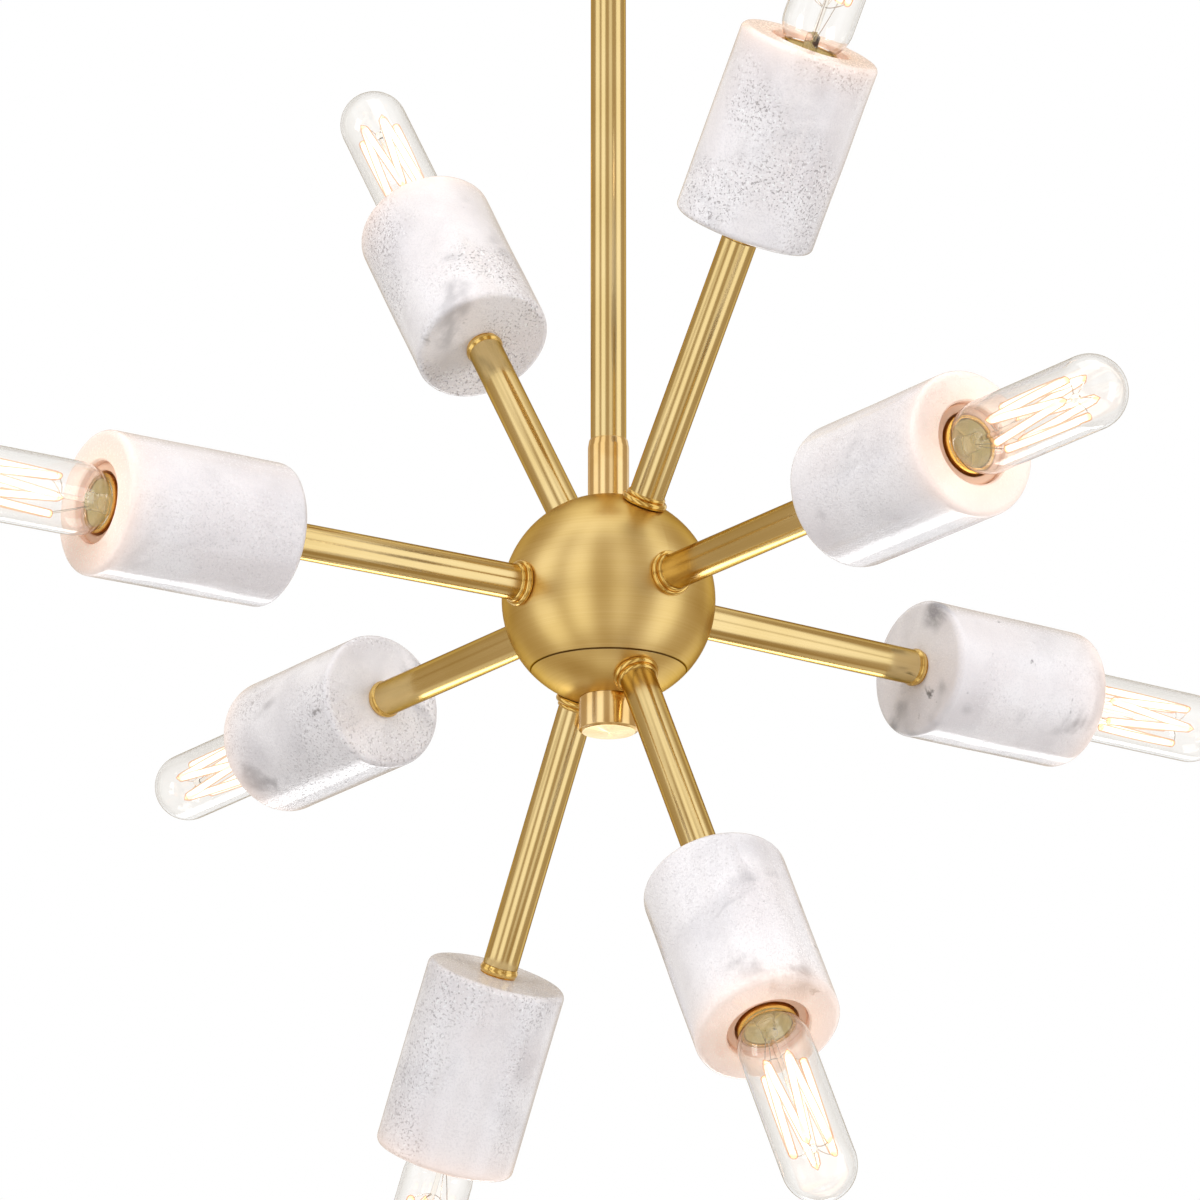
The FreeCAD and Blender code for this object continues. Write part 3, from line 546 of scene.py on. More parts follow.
def finer(profile, step):
    """The same profile with extra points, so that no run is longer than step."""
    gaps = np.linalg.norm(np.diff(profile, axis=0), axis=1)
    counts = np.maximum(1, np.ceil(gaps / step).astype(int))
    run = np.concatenate([[0], np.cumsum(counts)])
    at = np.arange(run[-1] + 1)
    return np.stack([np.interp(at, run, profile[:, k]) for k in (0, 1)], 1)


# %% Turned surfaces
def grid(points, u, v, **extras):
    """A surface from a grid of points (rows, columns, 3), with its UV and its attributes."""
    points[:, -1] = points[:, 0]
    rows, columns = points.shape[:2]
    corner = (np.arange(rows - 1)[:, None] * columns + np.arange(columns - 1)).ravel()
    quads = np.stack([corner, corner + 1, corner + columns + 1, corner + columns], 1)
    uv = np.stack(np.broadcast_arrays(u, v), -1).reshape(-1, 2)
    return {"points": points.reshape(-1, 3), "quads": quads, "uv": uv,
            "extras": {name: np.broadcast_to(e, (rows, columns)).ravel() for name, e in extras.items()}}


def turned(axis, profile, sides=72, wobble=None, **extras):
    """A profile carried round an axis: point(i, a) = axis.place(radius i, angle a, distance i).

    wobble(radius, angle, distance) gives a change of radius, for a thread or a rough edge."""
    profile = np.asarray(profile, float)
    angle = np.linspace(0, TURN, sides + 1)[None, :]
    radius, distance = profile[:, :1], profile[:, 1:]
    length = np.concatenate([[0], np.cumsum(np.linalg.norm(np.diff(profile, axis=0), axis=1))])[:, None]
    grown = radius if wobble is None else radius + wobble(radius, angle, distance)
    shown = {name: e(radius, angle, distance) for name, e in extras.items()}
    return grid(axis.place(grown, angle, distance), angle / TURN, length * MM, **shown)


def tube_along(path, radius, outward, sides=8, **extras):
    """A tube round a path: point(i, a) = path i + radius (cos a first i + sin a second i).

    The first direction is the outward one with its part along the path taken off, and the second
    is square to both. Both ends are closed by shrinking the radius to nothing."""
    path = np.concatenate([path[:1], path, path[-1:]])
    outward = np.concatenate([outward[:1], outward, outward[-1:]])
    run = np.gradient(path[1:-1], axis=0)
    run = np.concatenate([run[:1], run, run[-1:]])
    run /= np.linalg.norm(run, axis=1, keepdims=True)
    first = outward - (outward * run).sum(1, keepdims=True) * run
    first /= np.linalg.norm(first, axis=1, keepdims=True)
    second = np.cross(run, first)
    size = np.full(len(path), radius * MM)
    size[[0, -1]] = 0
    a = np.linspace(0, TURN, sides + 1)
    ring = np.cos(a)[None, :, None] * first[:, None] + np.sin(a)[None, :, None] * second[:, None]
    points = path[:, None] + size[:, None, None] * ring
    padded = {name: np.concatenate([e[:1], e, e[-1:]])[:, None] for name, e in extras.items()}
    return grid(points, a[None] / TURN, np.linspace(0, 1, len(path))[:, None], **padded)


# %% Making a piece
SMOOTH_UP_TO = math.radians(32)
WELD = 1e-7


def piece(name, surfaces, body, material, replaces=()):
    """One object from one or more surfaces. Matching points are welded, so seams and poles close."""
    starts = np.concatenate([[0], np.cumsum([len(s["points"]) for s in surfaces])[:-1]])
    points = np.concatenate([s["points"] for s in surfaces])
    quads = np.concatenate([s["quads"] + start for s, start in zip(surfaces, starts)])
    uv = np.concatenate([s["uv"] for s in surfaces])[quads.ravel()]
    names = sorted({name for s in surfaces for name in s["extras"]})
    extras = {n: np.concatenate([s["extras"].get(n, np.zeros(len(s["points"]))) for s in surfaces])
              for n in names}
    near = np.round(points / WELD).astype(np.int64)
    _, first, same = np.unique(near, axis=0, return_index=True, return_inverse=True)
    quads = same.reshape(-1)[quads]
    points, extras = points[first], {n: e[first] for n, e in extras.items()}
    keep_corner = quads != np.roll(quads, -1, axis=1)
    counts = keep_corner.sum(1)
    whole = counts > 2
    keep_corner &= whole[:, None]
    mesh = bpy.data.meshes.new(name)
    mesh.vertices.add(len(points))
    mesh.vertices.foreach_set("co", points.astype(np.float32).ravel())
    flat = quads[keep_corner]
    mesh.loops.add(len(flat))
    mesh.loops.foreach_set("vertex_index", flat.astype(np.int32))
    mesh.polygons.add(int(whole.sum()))
    loop_starts = np.concatenate([[0], np.cumsum(counts[whole])[:-1]])
    mesh.polygons.foreach_set("loop_start", loop_starts.astype(np.int32))
    mesh.update(calc_edges=True)
    mesh.validate()
    layer = mesh.uv_layers.new(name="turned")
    layer.data.foreach_set("uv", uv[keep_corner.ravel()].astype(np.float32).ravel())
    for n, e in extras.items():
        mesh.attributes.new(n, "FLOAT", "POINT").data.foreach_set("value", e.astype(np.float32))
    mesh.shade_smooth()
    mesh.set_sharp_from_angle(angle=SMOOTH_UP_TO)
    mesh.materials.append(material)
    made = placed(name, mesh)
    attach(made, body)
    if replaces:
        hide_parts(*replaces)


# %% [markdown]
# ## The stem, its coupling and the finial
# The stem is a plain tube. It drops into a polished coupling on top of the ball, with a fine dark
# groove where they meet, and a polished finial closes the ball from below. All are turned on the
# upright axis, with the ends that touch the ball cut to its curve.

# %% Stem, coupling and finial
BALL_RADIUS = STEM_LINE.reach("upper_shell")[2]
stem_low, stem_high, stem_radius = STEM_LINE.reach("stem")
STEM_BORE = 6.5


def tube_profile(radius, bore, low, high, edge=0.3):
    """A plain tube, walked with its metal on the left: out along the low end, up, and back down."""
    return rounded([
        (bore, low + 1), (bore, low, edge), (radius, low, edge), (radius, high, edge),
        (bore, high, edge), (bore, low + 1)])


piece("stem_tube", [turned(STEM_LINE, tube_profile(stem_radius, STEM_BORE, stem_low, stem_high), 96)],
      "pendant", TUBE_BRASS, ["stem"])

_, coupling_top, coupling_radius = STEM_LINE.reach("stem_coupling")
LEAD_IN, ROD_HOLE, FIT = 3.4, 5.3, 0.05
coupling_floor = coupling_top - 13.95


def foot_on_ball(inner, outer, sign=1, steps=6):
    """Profile points a little off the ball: distance = sqrt((ball radius + fit)^2 - radius^2)."""
    r = np.linspace(inner, outer, steps)
    return np.stack([r, sign * np.sqrt((BALL_RADIUS + FIT) ** 2 - r ** 2)], 1)


coupling_profile = np.concatenate([
    foot_on_ball(ROD_HOLE, coupling_radius),
    rounded([(coupling_radius, coupling_top - 8), (coupling_radius, coupling_top - LEAD_IN, 6),
             (stem_radius + 0.75, coupling_top - 0.6, 0.4), (stem_radius + 0.6, coupling_top, 0.2),
             (stem_radius + 0.06, coupling_top, 0.1), (stem_radius + 0.06, coupling_floor)]),
    [(ROD_HOLE, coupling_floor)],
    foot_on_ball(ROD_HOLE, coupling_radius)[:1],
])
piece("coupling_turned", [turned(STEM_LINE, coupling_profile, 96)],
      "pendant", ROSE_BRASS, ["stem_coupling"])

finial_low, _, finial_radius = STEM_LINE.reach("finial")
finial_profile = np.concatenate([
    [(0, finial_low)],
    rounded([(0.001, finial_low), (finial_radius - 1.4, finial_low, 0.3),
             (finial_radius - 1.0, finial_low + 0.35, 0.3), (finial_radius, finial_low + 0.9, 0.5),
             (finial_radius, finial_low + 4)]),
    foot_on_ball(finial_radius, 0.001, sign=-1),
    [(0, -BALL_RADIUS - FIT)],
])
piece("finial_turned", [turned(STEM_LINE, finial_profile, 96)],
      "pendant", ROSE_BRASS, ["finial"])
print("stem from", round(stem_low, 1), "to", round(stem_high, 1), "mm above the ball's centre")

# %% [markdown]
# ## Arms and their beads
# Eight equal tubes run from the ball to the cups. A turned ring with a large and a small bead
# hides each hole in the ball, and a rounded bead ends the tube at the cup. One profile for each,
# turned on eight axes, makes them all.

# %% Arm tubes
for number, axis in ARMS.items():
    low, high, radius = axis.reach(f"arm_tube_{number}")
    piece(f"arm_{number}", [turned(axis, tube_profile(radius, STEM_BORE, low, high), 96)],
          "pendant", TUBE_BRASS, [f"arm_tube_{number}"])
TUBE_RADIUS, TUBE_END = radius, high

# %% Beads at the ball and at the cups
WAIST, UNDERCUT, LARGE_RADIUS = 9.4, 0.5, 10.25
LARGE_BEAD, SMALL_BEAD = 2.9, 2.0
groove_at = math.sqrt((BALL_RADIUS + FIT) ** 2 - WAIST ** 2) + LARGE_BEAD
bead_bulge = LARGE_RADIUS - WAIST
bead_bend = (bead_bulge ** 2 + (LARGE_BEAD / 2) ** 2) / 2 / bead_bulge
half_sweep = math.degrees(math.asin(LARGE_BEAD / 2 / bead_bend))
bead_middle = (LARGE_RADIUS - bead_bend, groove_at - LARGE_BEAD / 2)
COLLAR_BORE = TUBE_RADIUS + FIT

ball_bead_profile = np.concatenate([
    foot_on_ball(COLLAR_BORE, WAIST - UNDERCUT),
    arc(bead_middle, bead_bend, -half_sweep + 16, half_sweep, 14),
    [(8.6, groove_at - 0.1), (8.6, groove_at + 0.05)],
    arc((7.75, groove_at + 1.0), 1.0, -55, 70, 10),
    [(COLLAR_BORE, groove_at + SMALL_BEAD)],
    foot_on_ball(COLLAR_BORE, WAIST)[:1],
])
piece("ball_beads", [turned(axis, ball_bead_profile, 80) for axis in ARMS.values()],
      "pendant", BEAD_BRASS, ["ball_collars"])

CUP_FACE, CUP_MOUTH, CUP_RADIUS = ARMS[1].reach("marble_cup_1")
PIPE_RADIUS = 5.05
cup_bead_profile = np.concatenate([
    [(PIPE_RADIUS, TUBE_END + 0.02)],
    rounded([(PIPE_RADIUS, TUBE_END + 0.02), (7.95, TUBE_END + 0.02, 0.25), (8.25, TUBE_END + 1.0, 0.3)]),
    arc((6.75, TUBE_END + 2.35), 1.98, -30, 62, 12),
    rounded([(7.7, TUBE_END + 4.05), (8.7, CUP_FACE - FIT, 0.1), (PIPE_RADIUS, CUP_FACE - FIT)]),
    [(PIPE_RADIUS, TUBE_END + 0.02)],
])
piece("cup_beads", [turned(axis, cup_bead_profile, 80) for axis in ARMS.values()],
      "pendant", BEAD_BRASS, ["cup_collars"])
print("bead collars at", round(groove_at, 1), "and", round(CUP_FACE, 1), "mm along the arms")

# %% [markdown]
# ## How the lamp's light is painted on a cup
# The hot wire is close to a line on the arm's axis. The light that a point gets from it is the sum
# over that line of (normal . direction) / distance squared. On the flat face this has a closed
# form, 1 / sqrt(r^2 + near^2) - 1 / sqrt(r^2 + far^2), and past the edge the stone lets some of it
# through, which fades with depth. This share is painted on the stone and the porcelain, as colour
# and a faint glow.

# %% Painted lamp light on stone
LAMP_NEAR, LAMP_FAR = 20.0, 75.0
STONE_FADE = 7.0
BORE_RADIUS, BORE_FLOOR = 18.0, CUP_FACE + 14


def face_light(radius):
    return 1 / np.sqrt(radius ** 2 + LAMP_NEAR ** 2) - 1 / np.sqrt(radius ** 2 + LAMP_FAR ** 2)


def painted_lamp_share(radius, angle, distance):
    """Painted lamp light: 1 at the rim of the bore, less towards the cup's edge, and fading down its side.
    """
    sunk = np.maximum(0, CUP_MOUTH - distance)
    share = face_light(np.maximum(radius, BORE_RADIUS)) / face_light(BORE_RADIUS)
    return share * np.exp(-sunk / STONE_FADE) + 0 * angle


# %% [markdown]
# ## Marble cups
# A cup is a short cylinder of stone with rounded edges and a bore for the lampholder. It's turned
# like the brass, with two differences. Its profile is divided finely, and each point's radius is
# moved a little by a sum of slow waves, because honed stone is never a perfect cylinder.

# %% Cups
CUP_ROUNDING, MOUTH_BEVEL = 3.0, 0.8
HONED_OFF, WAVE_HEIGHT = 0.1, 0.035
cup_profile = finer(rounded([
    (PIPE_RADIUS, CUP_FACE), (CUP_RADIUS, CUP_FACE, CUP_ROUNDING), (CUP_RADIUS, CUP_MOUTH, CUP_ROUNDING),
    (BORE_RADIUS + MOUTH_BEVEL, CUP_MOUTH, 0.4), (BORE_RADIUS, CUP_MOUTH - MOUTH_BEVEL, 0.4),
    (BORE_RADIUS, BORE_FLOOR), (PIPE_RADIUS, BORE_FLOOR), (PIPE_RADIUS, CUP_FACE)], steps=8), 1.5)


def honed(seed):
    """Slow waves: a sum of five cosines of the angle and the distance, with seeded phases."""
    draw = np.random.default_rng(seed)
    counts, waves, phases = draw.integers(2, 9, 5), draw.uniform(0.02, 0.14, 5), draw.uniform(0, TURN, 5)

    def change(radius, angle, distance):
        shape = sum(np.cos(c * angle + w * distance + p) for c, w, p in zip(counts, waves, phases))
        return np.where(radius > BORE_RADIUS + 3, WAVE_HEIGHT * shape - HONED_OFF, 0.0)
    return change


def all_over(amount):
    """The same number on every point of a part."""
    return lambda radius, angle, distance: amount + 0 * (radius + angle)


# How grainy and how veined each cup's stone is. The rest are smooth, with few marks.
GRAINY, SMOOTH = {1: 1.0, 5: 0.8, 6: 0.7, 8: 1.0}, 0.3
VEINED, UNMARKED = {2: 0.5, 3: 1.0, 4: 1.1, 6: 0.7, 8: 0.5}, 0.2
for number, axis in ARMS.items():
    cup = turned(axis, cup_profile, 144, wobble=honed(number), lamp_warmth=painted_lamp_share,
                 stone_grain=all_over(GRAINY.get(number, SMOOTH)),
                 stone_veins=all_over(VEINED.get(number, UNMARKED)))
    piece(f"cup_{number}", [cup], "pendant", MARBLE, [f"marble_cup_{number}"])
print("cups:", len(cup_profile) * 144, "faces each")

# %% [markdown]
# ## Lampholders
# Inside the bore sits a porcelain body with a deep socket, lined with a thin brass shell. The
# shell and the lamp's cap carry the same rolled thread. A thread is a wave of the radius whose
# crest climbs one pitch per turn: radius + height (1 + cos(2 pi distance / pitch - angle)) / 2.

# %% Thread
PITCH = 25.4 / 7


def rolled(height, low, high, fade=2.0):
    """A rounded thread between two distances, which fades in and out at its ends."""
    def change(radius, angle, distance):
        crest = (1 + np.cos(TURN * distance / PITCH - angle)) / 2
        inside = np.clip((distance - low) / fade, 0, 1) * np.clip((high - distance) / fade, 0, 1)
        return height * crest * inside
    return change


# %% Holders and shells
holder_low, holder_rim, holder_radius = CUP_FACE + 18, CUP_MOUTH - 3, 17.7
SOCKET_RADIUS, SOCKET_FLOOR = 13.9, holder_rim - 30
holder_profile = finer(rounded([
    (PIPE_RADIUS, holder_low), (holder_radius, holder_low, 0.5), (holder_radius, holder_rim, 0.8),
    (SOCKET_RADIUS + 0.1, holder_rim, 0.6), (SOCKET_RADIUS + 0.1, SOCKET_FLOOR), (PIPE_RADIUS, SOCKET_FLOOR),
    (PIPE_RADIUS, holder_low)]), 3.0)
piece("holder_bodies", [turned(axis, holder_profile, 96, lamp_warmth=painted_lamp_share) for axis in ARMS.values()],
      "pendant", PORCELAIN, ["lampholder_bodies"])

SHELL_LOW, SHELL_HIGH = SOCKET_FLOOR, SOCKET_FLOOR + 24
SHELL_OUTER, SHELL_INNER = 13.62, 13.35
shell_profile = finer(np.array([
    (SHELL_OUTER, SHELL_LOW), (SHELL_OUTER, SHELL_HIGH), (SHELL_INNER, SHELL_HIGH),
    (SHELL_INNER, SHELL_LOW), (SHELL_OUTER, SHELL_LOW)]), 0.45)
shell_thread = rolled(0.16, SHELL_LOW, SHELL_HIGH)
piece("holder_shells", [turned(axis, shell_profile, 64, wobble=shell_thread) for axis in ARMS.values()],
      "pendant", PLAIN_BRASS, ["lampholder_shells"])

# %% [markdown]
# ## Lamp caps
# The cap is rolled brass down to a dark glass insulator, with a blob of solder as its contact. Its
# inside holds pale cement, and the lamp's light on the cement is painted on as a faint glow. All
# four run into each other along one profile, so one UV coordinate says which is which.

# %% Caps
BASE_RADIUS = 13.1
cap_low, cap_high, _ = ARMS[1].reach("bulb_base_1")
cap_profile = finer(np.concatenate([
    [(0, cap_low)], arc((0, cap_low + 4.5), 4.5, -90, -40, 6)[1:],
    [(4.5, cap_low + 2.2), (12.4, cap_low + 7), (12.9, cap_low + 7.4)],
    [(12.75, cap_low + 8), (12.75, cap_high - 2.5)],
    rounded([(12.9, cap_high - 2), (BASE_RADIUS, cap_high - 1.2, 0.4), (BASE_RADIUS, cap_high, 0.25),
             (11.5, cap_high, 0.25), (11.5, cap_high - 12.9)]),
    [(0, cap_high - 12.9)],
]), 0.6)
cap_length = np.linalg.norm(np.diff(cap_profile, axis=0), axis=1).sum()
SOLDER_END, INSULATOR_END, CEMENT_FROM = 5.2, 13.4, cap_length - 24
cap_thread = rolled(0.33, cap_low + 8, cap_high - 2.6, 1.5)


def make_cap_finish():
    finish = finish_named("lamp_cap")
    blotch = finish.noise(finish.position(), 90.0, detail=3.0)
    along = finish.add("SeparateXYZ", {0: finish.turned_map((1, 1000, 1))}, output=1)
    brass = finish.mix(blotch, colour(236, 190, 104), colour(206, 150, 66))
    glassy = along.rise(INSULATOR_END, INSULATOR_END + 0.1)
    # The cement inside: its own pale colour, and a painted glow where the lamp's light falls on it.
    inside = along.rise(CEMENT_FROM, CEMENT_FROM + 1)
    tin = along.rise(SOLDER_END, SOLDER_END + 0.1)
    tip = finish.mix(tin, colour(190, 190, 186), colour(24, 22, 24))
    return finish.surface(
        Base_Color=finish.mix(inside, finish.mix(glassy, tip, brass), colour(222, 204, 152)),
        Metallic=(glassy - inside + (1 - tin)).clamped(),
        Roughness=0.18 + blotch * 0.15,
        # Painted glow: the lamp's light on the cement.
        Emission_Color=finish.mix(inside, (0, 0, 0, 1), colour(234, 212, 150)),
        Emission_Strength=0.4,
        Normal=finish.bump(blotch, 0.00003, 0.3),
    )


CAP_FINISH = make_cap_finish()
for number, axis in ARMS.items():
    piece(f"lamp_cap_{number}", [turned(axis, cap_profile, 64, wobble=cap_thread)],
          f"lamp_base_{number}", CAP_FINISH, [f"bulb_base_{number}"])
print("lamp caps from", round(cap_low, 1), "to", round(cap_high, 1), "mm")

# %% [markdown]
# ## Lamp glass
# Each envelope is a tube with a round end, drawn in to a neck that is cemented in the cap. Glass
# only bends light as it should when it has both its walls, so the profile goes up the outside
# and comes back down the inside.

# %% Envelopes
neck_low, glass_end, GLASS_RADIUS = ARMS[1].reach("bulb_glass_1")
GLASS_WALL, NECK_RADIUS, SHOULDER = 0.8, 11.3, 12.0
dome_from = glass_end - GLASS_RADIUS
step_out = GLASS_RADIUS - NECK_RADIUS
bend = (step_out ** 2 + SHOULDER ** 2) / 2 / step_out
sweep = math.degrees(math.asin(SHOULDER / bend))


def wall(inset):
    """The envelope's profile, inset by part of the wall: neck, shoulder, tube and dome."""
    return np.concatenate([
        [(NECK_RADIUS - inset, neck_low)],
        arc((GLASS_RADIUS - bend, cap_high + SHOULDER), bend - inset, -sweep, 0, 20),
        np.linspace((GLASS_RADIUS - inset, cap_high + SHOULDER + 2), (GLASS_RADIUS - inset, dome_from), 24),
        arc((0, dome_from), GLASS_RADIUS - inset, 0, 90, 24)[1:],
    ])


glass_profile = np.concatenate([wall(0.0), wall(GLASS_WALL)[::-1], wall(0.0)[:1]])
glass_profile[:, 0] = np.maximum(glass_profile[:, 0], 0)
for number, axis in ARMS.items():
    piece(f"lamp_glass_{number}", [turned(axis, glass_profile, 128)],
          f"lamp_{number}", LAMP_GLASS, [f"bulb_glass_{number}"])
print("lamp glass from", round(neck_low, 1), "to", round(glass_end, 1), "mm")

# %% [markdown]
# ## Stem press and centre rod
# Inside the neck a flared glass tube rises from the rim, narrows, and is pinched flat where the
# wires pass through it. A glass rod grows from the pinch and ends in a button that holds the upper
# wires. The pinch is a turned surface whose radius also depends on the angle: an ellipse that gets
# flatter towards the top.

# %% Mounts
RING_RADIUS = 9.0
WIRE_LOW, WIRE_HIGH = cap_high + 24, cap_high + 72
PRESS_TOP, ROD_RADIUS, BUTTON_RADIUS = neck_low + 20, 1.2, 2.2
button_at = WIRE_HIGH - BUTTON_RADIUS

flare_profile = np.concatenate([
    rounded([(9.9, neck_low + 0.3), (10.1, neck_low + 0.9, 0.4), (5.2, neck_low + 5, 4.0),
             (4.0, neck_low + 12, 3.0), (3.8, PRESS_TOP - 1, 0.8), (ROD_RADIUS, PRESS_TOP, 0.8),
             (ROD_RADIUS, button_at - 5)], steps=8),
    arc((0, button_at), BUTTON_RADIUS, -57, 90, 14),
])
flare_profile[-1, 0] = 0
flare_profile = finer(np.concatenate([[(0, neck_low + 0.3)], flare_profile]), 1.0)


def pinched(radius, angle, distance):
    """Flattens the stem: thinner across one direction and wider across the other, near the top."""
    near = np.clip((distance - neck_low - 8) / 8, 0, 1) * np.clip((PRESS_TOP + 1.5 - distance) / 2.5, 0, 1)
    return radius * near * (0.28 * np.cos(2 * angle) - 0.22)


for number, axis in ARMS.items():
    piece(f"lamp_mount_{number}", [turned(axis, flare_profile, 48, wobble=pinched)],
          f"lamp_{number}", STEM_GLASS, [f"filament_{number}"])
print("mounts: rod up to", round(button_at, 1), "mm")

# %% [markdown]
# ## The glowing wire
# The hot wire zigzags between two rings of hooks. Its path is a rounded triangle wave wrapped
# round a cylinder: with s from 0 to 1, the angle is s times the sweep, and the height is a
# triangle wave with one leg for each hook. The wave comes from arcsine of cosine, with the cosine
# held a little under 1 so that each turn is round.

# %% Zigzag
LEGS = 10
ZIGZAG_SWEEP = TURN * (LEGS - 1) / LEGS
ROUNDNESS = 0.996
HOT_RADIUS, GLOW_RADIUS, SUPPORT_RADIUS = 1.3, 1.95, 0.2


def zigzag(axis):
    """Points of the wire's path, the outward direction at each, and how hot the wire is there."""
    s = np.linspace(0, 1, LEGS * 22 + 1)
    wave = np.arcsin(ROUNDNESS * -np.cos(math.pi * LEGS * s)) / math.asin(ROUNDNESS)
    height = (WIRE_LOW + WIRE_HIGH) / 2 + (WIRE_HIGH - WIRE_LOW) / 2 * wave
    angle = ZIGZAG_SWEEP * s
    path = axis.place(RING_RADIUS, angle, height)
    outward = axis.place(1.0, angle, 0.0) - axis.origin
    return path, outward / MM, 1 - np.abs(wave) ** 6


def bowed(start, end, lift, steps=10):
    """A wire from start to end through a lifted middle: (1-t)^2 start + 2t(1-t) middle + t^2 end."""
    t = np.linspace(0, 1, steps + 1)[:, None]
    middle = (start + end) / 2 + lift
    return (1 - t) ** 2 * start + 2 * t * (1 - t) * middle + t ** 2 * end


def support_wires(axis):
    """Upper hooks from the rod's button, lower ones from the rod, and two leads from the pinch."""
    wires = []
    for hook in range(LEGS + 1):
        angle = ZIGZAG_SWEEP * hook / LEGS
        top = hook % 2 == 1
        lead = hook in (0, LEGS)
        root_at = button_at if top else (PRESS_TOP - 2 if lead else WIRE_LOW - 5)
        root_radius = 2.0 if top else (2.4 if lead else ROD_RADIUS - 0.2)
        start = axis.place(root_radius, angle, root_at)
        end = axis.place(RING_RADIUS - 0.2, angle, WIRE_HIGH + 0.3 if top else WIRE_LOW - 0.3)
        lift = axis.along * MM * (2.5 if top else -1.5)
        path = bowed(start, end, lift)
        sideways = np.broadcast_to(np.cross(axis.along, end - start), path.shape)
        wires.append(tube_along(path, SUPPORT_RADIUS, sideways, 6))
    return wires


for number, axis in ARMS.items():
    path, outward, heat = zigzag(axis)
    body = f"lamp_{number}"
    piece(f"hot_wire_{number}", [tube_along(path, HOT_RADIUS, outward, 10, wire_heat=heat)],
          body, HOT_WIRE, [f"filament_{number}"])
    piece(f"wire_glow_{number}", [tube_along(path, GLOW_RADIUS, outward, 12, wire_heat=heat)],
          body, GLOW)
    piece(f"wire_supports_{number}", support_wires(axis), body, NICKEL, [f"filament_{number}"])
print("hot wire:", len(path), "points in", LEGS, "legs")

# %% [markdown]
# ## Finishes for the CAD parts that stay
# The ball's two shells, the ceiling plate and the hidden hardware are already right in shape, so
# they keep their meshes and only get a finish.

# %% CAD finishes
PLATE_BRASS = satin_brass(
    "satin_brass_plate", lambda f: f.position(stretch=(700, 14, 14)), BALL_LIGHT, BALL_DEEP, 0.22, 0.000012)
KEPT = {
    "upper_shell": BALL_BRASS, "lower_cap": BALL_BRASS, "canopy": PLATE_BRASS,
    "swivel_collar": BALL_BRASS, "swivel_ball": BALL_BRASS, "swivel_liner": NYLON,
    "canopy_cap_nuts": PLATE_BRASS, "crossbar": ZINC_STEEL, "canopy_studs": ZINC_STEEL,
    "threaded_nipples": ZINC_STEEL, "lock_nuts": ZINC_STEEL, "centre_rod": ZINC_STEEL,
    "lampholder_contacts": PLAIN_BRASS,
}
for node, material in KEPT.items():
    held = frame["nodes"][node]
    held.data.materials.clear()
    held.data.materials.append(material)
left = sorted(n for n, o in frame["nodes"].items() if not o.hide_render and n not in KEPT)
print("CAD nodes without a finish of their own:", left)

# %% [markdown]
# ## Floor, background and light
# The lamp hangs in a white studio. The floor is far below and pale, and fades into the white of
# the world. Three large soft panels light the object. What the brass mirrors is drawn in the world
# instead: upright panels with gaps between them, level bands and the backdrop's sweep. They make
# its bright bands and dark lines.

# %% Floor
FLOOR_Z, FLOOR_HALF = -2.3, 14.0
FADE_FROM, FADE_TO = 2.0, 9.0
WHITENED = 0.55
floor_corners = [(x * FLOOR_HALF, y * FLOOR_HALF, FLOOR_Z) for x, y in ((-1, -1), (1, -1), (1, 1), (-1, 1))]
floor_mesh = bpy.data.meshes.new("floor")
floor_mesh.from_pydata(floor_corners, [], [(0, 1, 2, 3)])
floor = placed("floor", floor_mesh)


def make_floor():
    """Pale matt paint, whiter to the eye, that fades out far away. It's clear from below, and clear
    to mirrored rays, which see the studio's panels instead."""
    finish = finish_named("floor_paint")
    mottle = finish.noise(finish.position(), 3.0, detail=2.0)
    paint = finish.add("BsdfDiffuse", {
        "Color": finish.mix(mottle, (0.8, 0.8, 0.8, 1), (0.84, 0.84, 0.84, 1))})
    white = finish.add("Emission", {"Color": (1, 1, 1, 1), "Strength": 1.0})
    clear = finish.add("BsdfTransparent")
    seen, through, mirrored = finish.rays("Camera", "Transmission", "Glossy")
    to_the_eye = (seen + through).clamped()
    whitened = finish.blend(to_the_eye * WHITENED, paint, white)
    under = finish.add("NewGeometry", output="Backfacing")
    away = finish.add("VectorMath", {0: finish.position()}, output="Value", operation="LENGTH")
    unseen = (under + mirrored + away.rise(FADE_FROM, FADE_TO)).clamped()
    shader = finish.blend(unseen, whitened, clear)
    finish.add("OutputMaterial", {"Surface": shader})
    return finish.owner


floor.data.materials.append(make_floor())

# %% World
AMBIENT = 0.62
GAP_BROWN = colour(156, 127, 68)
PANEL_LEVEL = 1.3
# Upright panels: bearing to the right of the camera and half width, in degrees, and brightness.
UPRIGHT_PANELS = (
    (-76, 15, 0.95), (-33, 12, 1.05), (14, 9, 0.7), (70, 15, 1.1), (142, 12, 0.65), (-148, 12, 0.5))
# Level bands: height and half height, in degrees, and how much they dim what is in them.
DIM_BANDS = ((3, 4, 0.45), (46, 6, 0.3), (-62, 14, 0.6))
LOW_LEVEL, HIGH_LEVEL = 0.2, 0.7
OVERHEAD_FROM, OVERHEAD_TO = 50.0, 75.0
DEGREES = 180 / math.pi
# The backdrop's sweep behind the object, a soft part and a hot strip below it: height, half
# height, half width and brightness.
SWEEP_PARTS = ((-14, 8, 30, 1.25), (-30, 6, 20, 5.0))


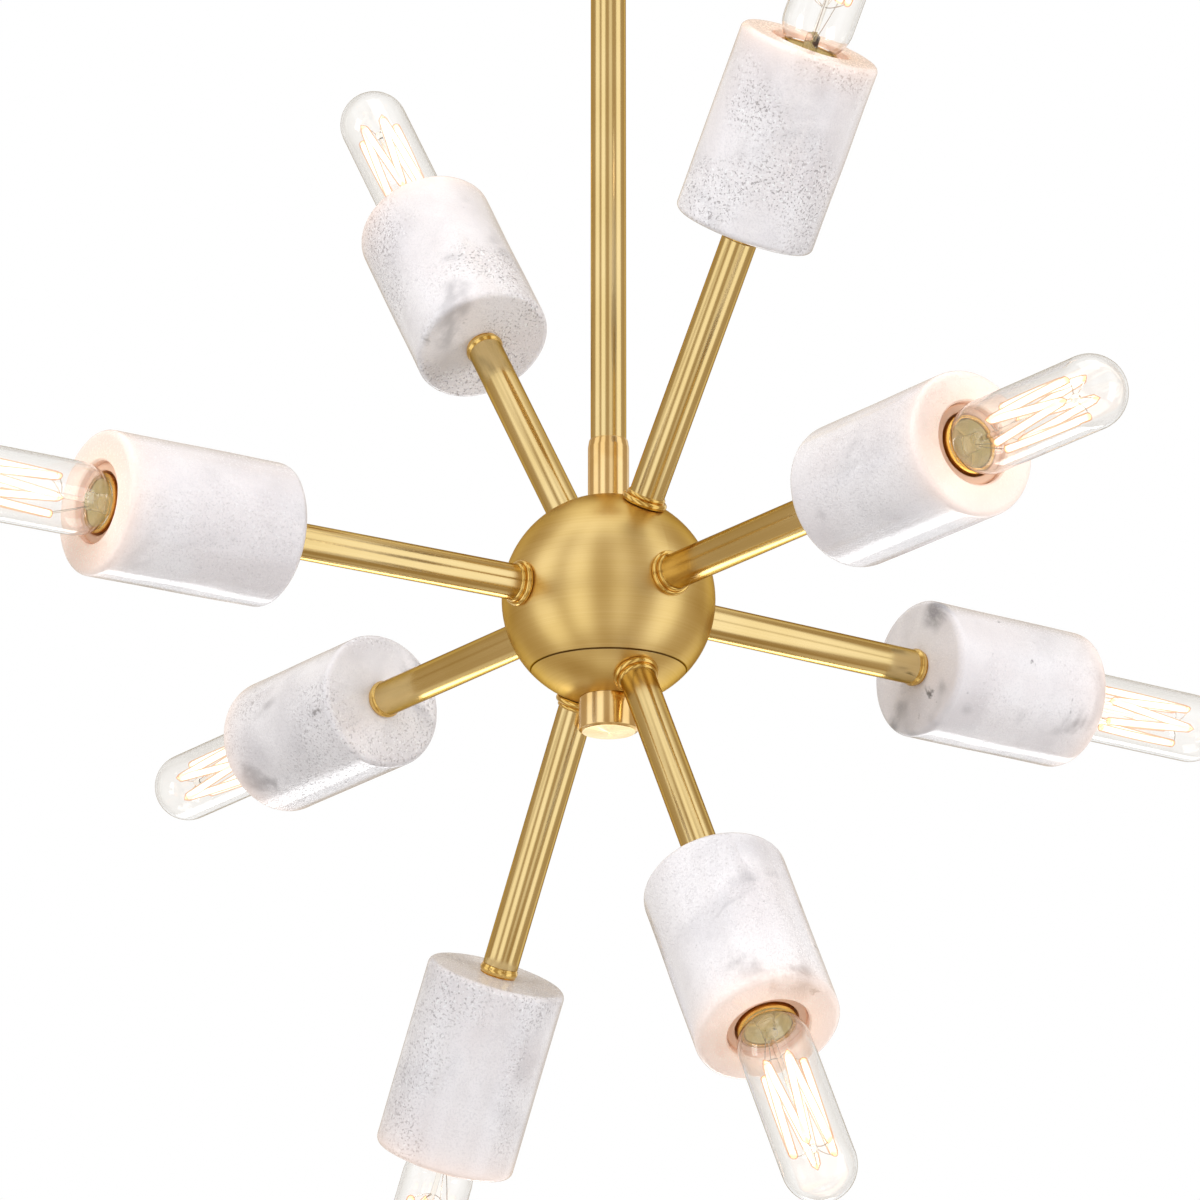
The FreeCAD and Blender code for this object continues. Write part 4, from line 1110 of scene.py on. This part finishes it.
def make_world():
    """White for the eye, a plain grey-white for light, and panels with gaps for reflections."""
    world = bpy.data.worlds.new("studio")
    bpy.context.scene.world = world
    finish = Finish(world)
    seen, through, glossy = finish.rays("Camera", "Transmission", "Glossy")
    towards = finish.add("TexCoord", output="Generated")
    x, y, z = (finish.add("SeparateXYZ", {0: towards}, output=k) for k in range(3))
    bearing = finish.add("Math", {0: y, 1: x}, operation="ARCTAN2") * DEGREES
    height = finish.add("Math", {0: z}, operation="ARCSINE") * DEGREES
    camera_bearing = math.atan2(to_camera[1], to_camera[0]) * DEGREES

    def inside(off, half):
        """1 within half of the middle, 0 well outside it, with a soft edge."""
        return 1 - abs(off).rise(half * 0.7, half * 1.4)

    def past(centre):
        """How far a direction is past an upright line at this bearing from the camera."""
        limits = {0: bearing - (centre + camera_bearing), 1: 180.0, 2: -180.0}
        return finish.add("Math", limits, operation="WRAP")

    overhead = height.rise(OVERHEAD_FROM, OVERHEAD_TO)
    level = overhead * HIGH_LEVEL + LOW_LEVEL
    for centre, half, bright in UPRIGHT_PANELS:
        level = level + inside(past(centre), half) * (1 - overhead) * (bright - LOW_LEVEL)
    for centre, half, dim in DIM_BANDS:
        level = level * (1 - inside(height - centre, half) * dim)
    mirrored = finish.mix(level.clamped(), GAP_BROWN, (PANEL_LEVEL, PANEL_LEVEL, PANEL_LEVEL, 1))
    for centre, half_height, half_width, bright in SWEEP_PARTS:
        part = inside(height - centre, half_height) * inside(past(180), half_width)
        mirrored = finish.mix(part, mirrored, (bright, bright, bright, 1))
    shown = finish.add("Background", {"Color": (1, 1, 1, 1), "Strength": 1.0})
    light = finish.add("Background", {"Color": (0.97, 0.98, 1.0, 1), "Strength": AMBIENT})
    panels = finish.add("Background", {"Color": mirrored, "Strength": 1.0})
    unlit = finish.blend(glossy, light, panels)
    shader = finish.blend((seen + through).clamped(), unlit, shown)
    finish.add("OutputWorld", {"Surface": shader})


make_world()


# %% Panels
def panel(name, bearing, height, distance, width, length, power):
    """A soft panel that faces the ball. Bearing is in degrees to the right of the camera."""
    lamp = bpy.data.lights.new(name, "AREA")
    lamp.shape, lamp.size, lamp.size_y, lamp.energy = "RECTANGLE", width, length, power
    held = placed(name, lamp)
    a, e = VIEW_AZIMUTH + math.radians(bearing), math.radians(height)
    away = np.array((math.sin(a) * math.cos(e), -math.cos(a) * math.cos(e), math.sin(e)))
    held.location = ball_centre + away * distance
    held.rotation_euler = Vector(-away).to_track_quat("-Z", "Y").to_euler()
    held.visible_camera = held.visible_glossy = False


panel("left_panel", -38, 22, 2.4, 1.1, 1.6, 26)
panel("right_panel", 66, -4, 2.4, 0.9, 1.8, 22)
panel("top_panel", 10, 70, 2.2, 1.6, 1.6, 16)
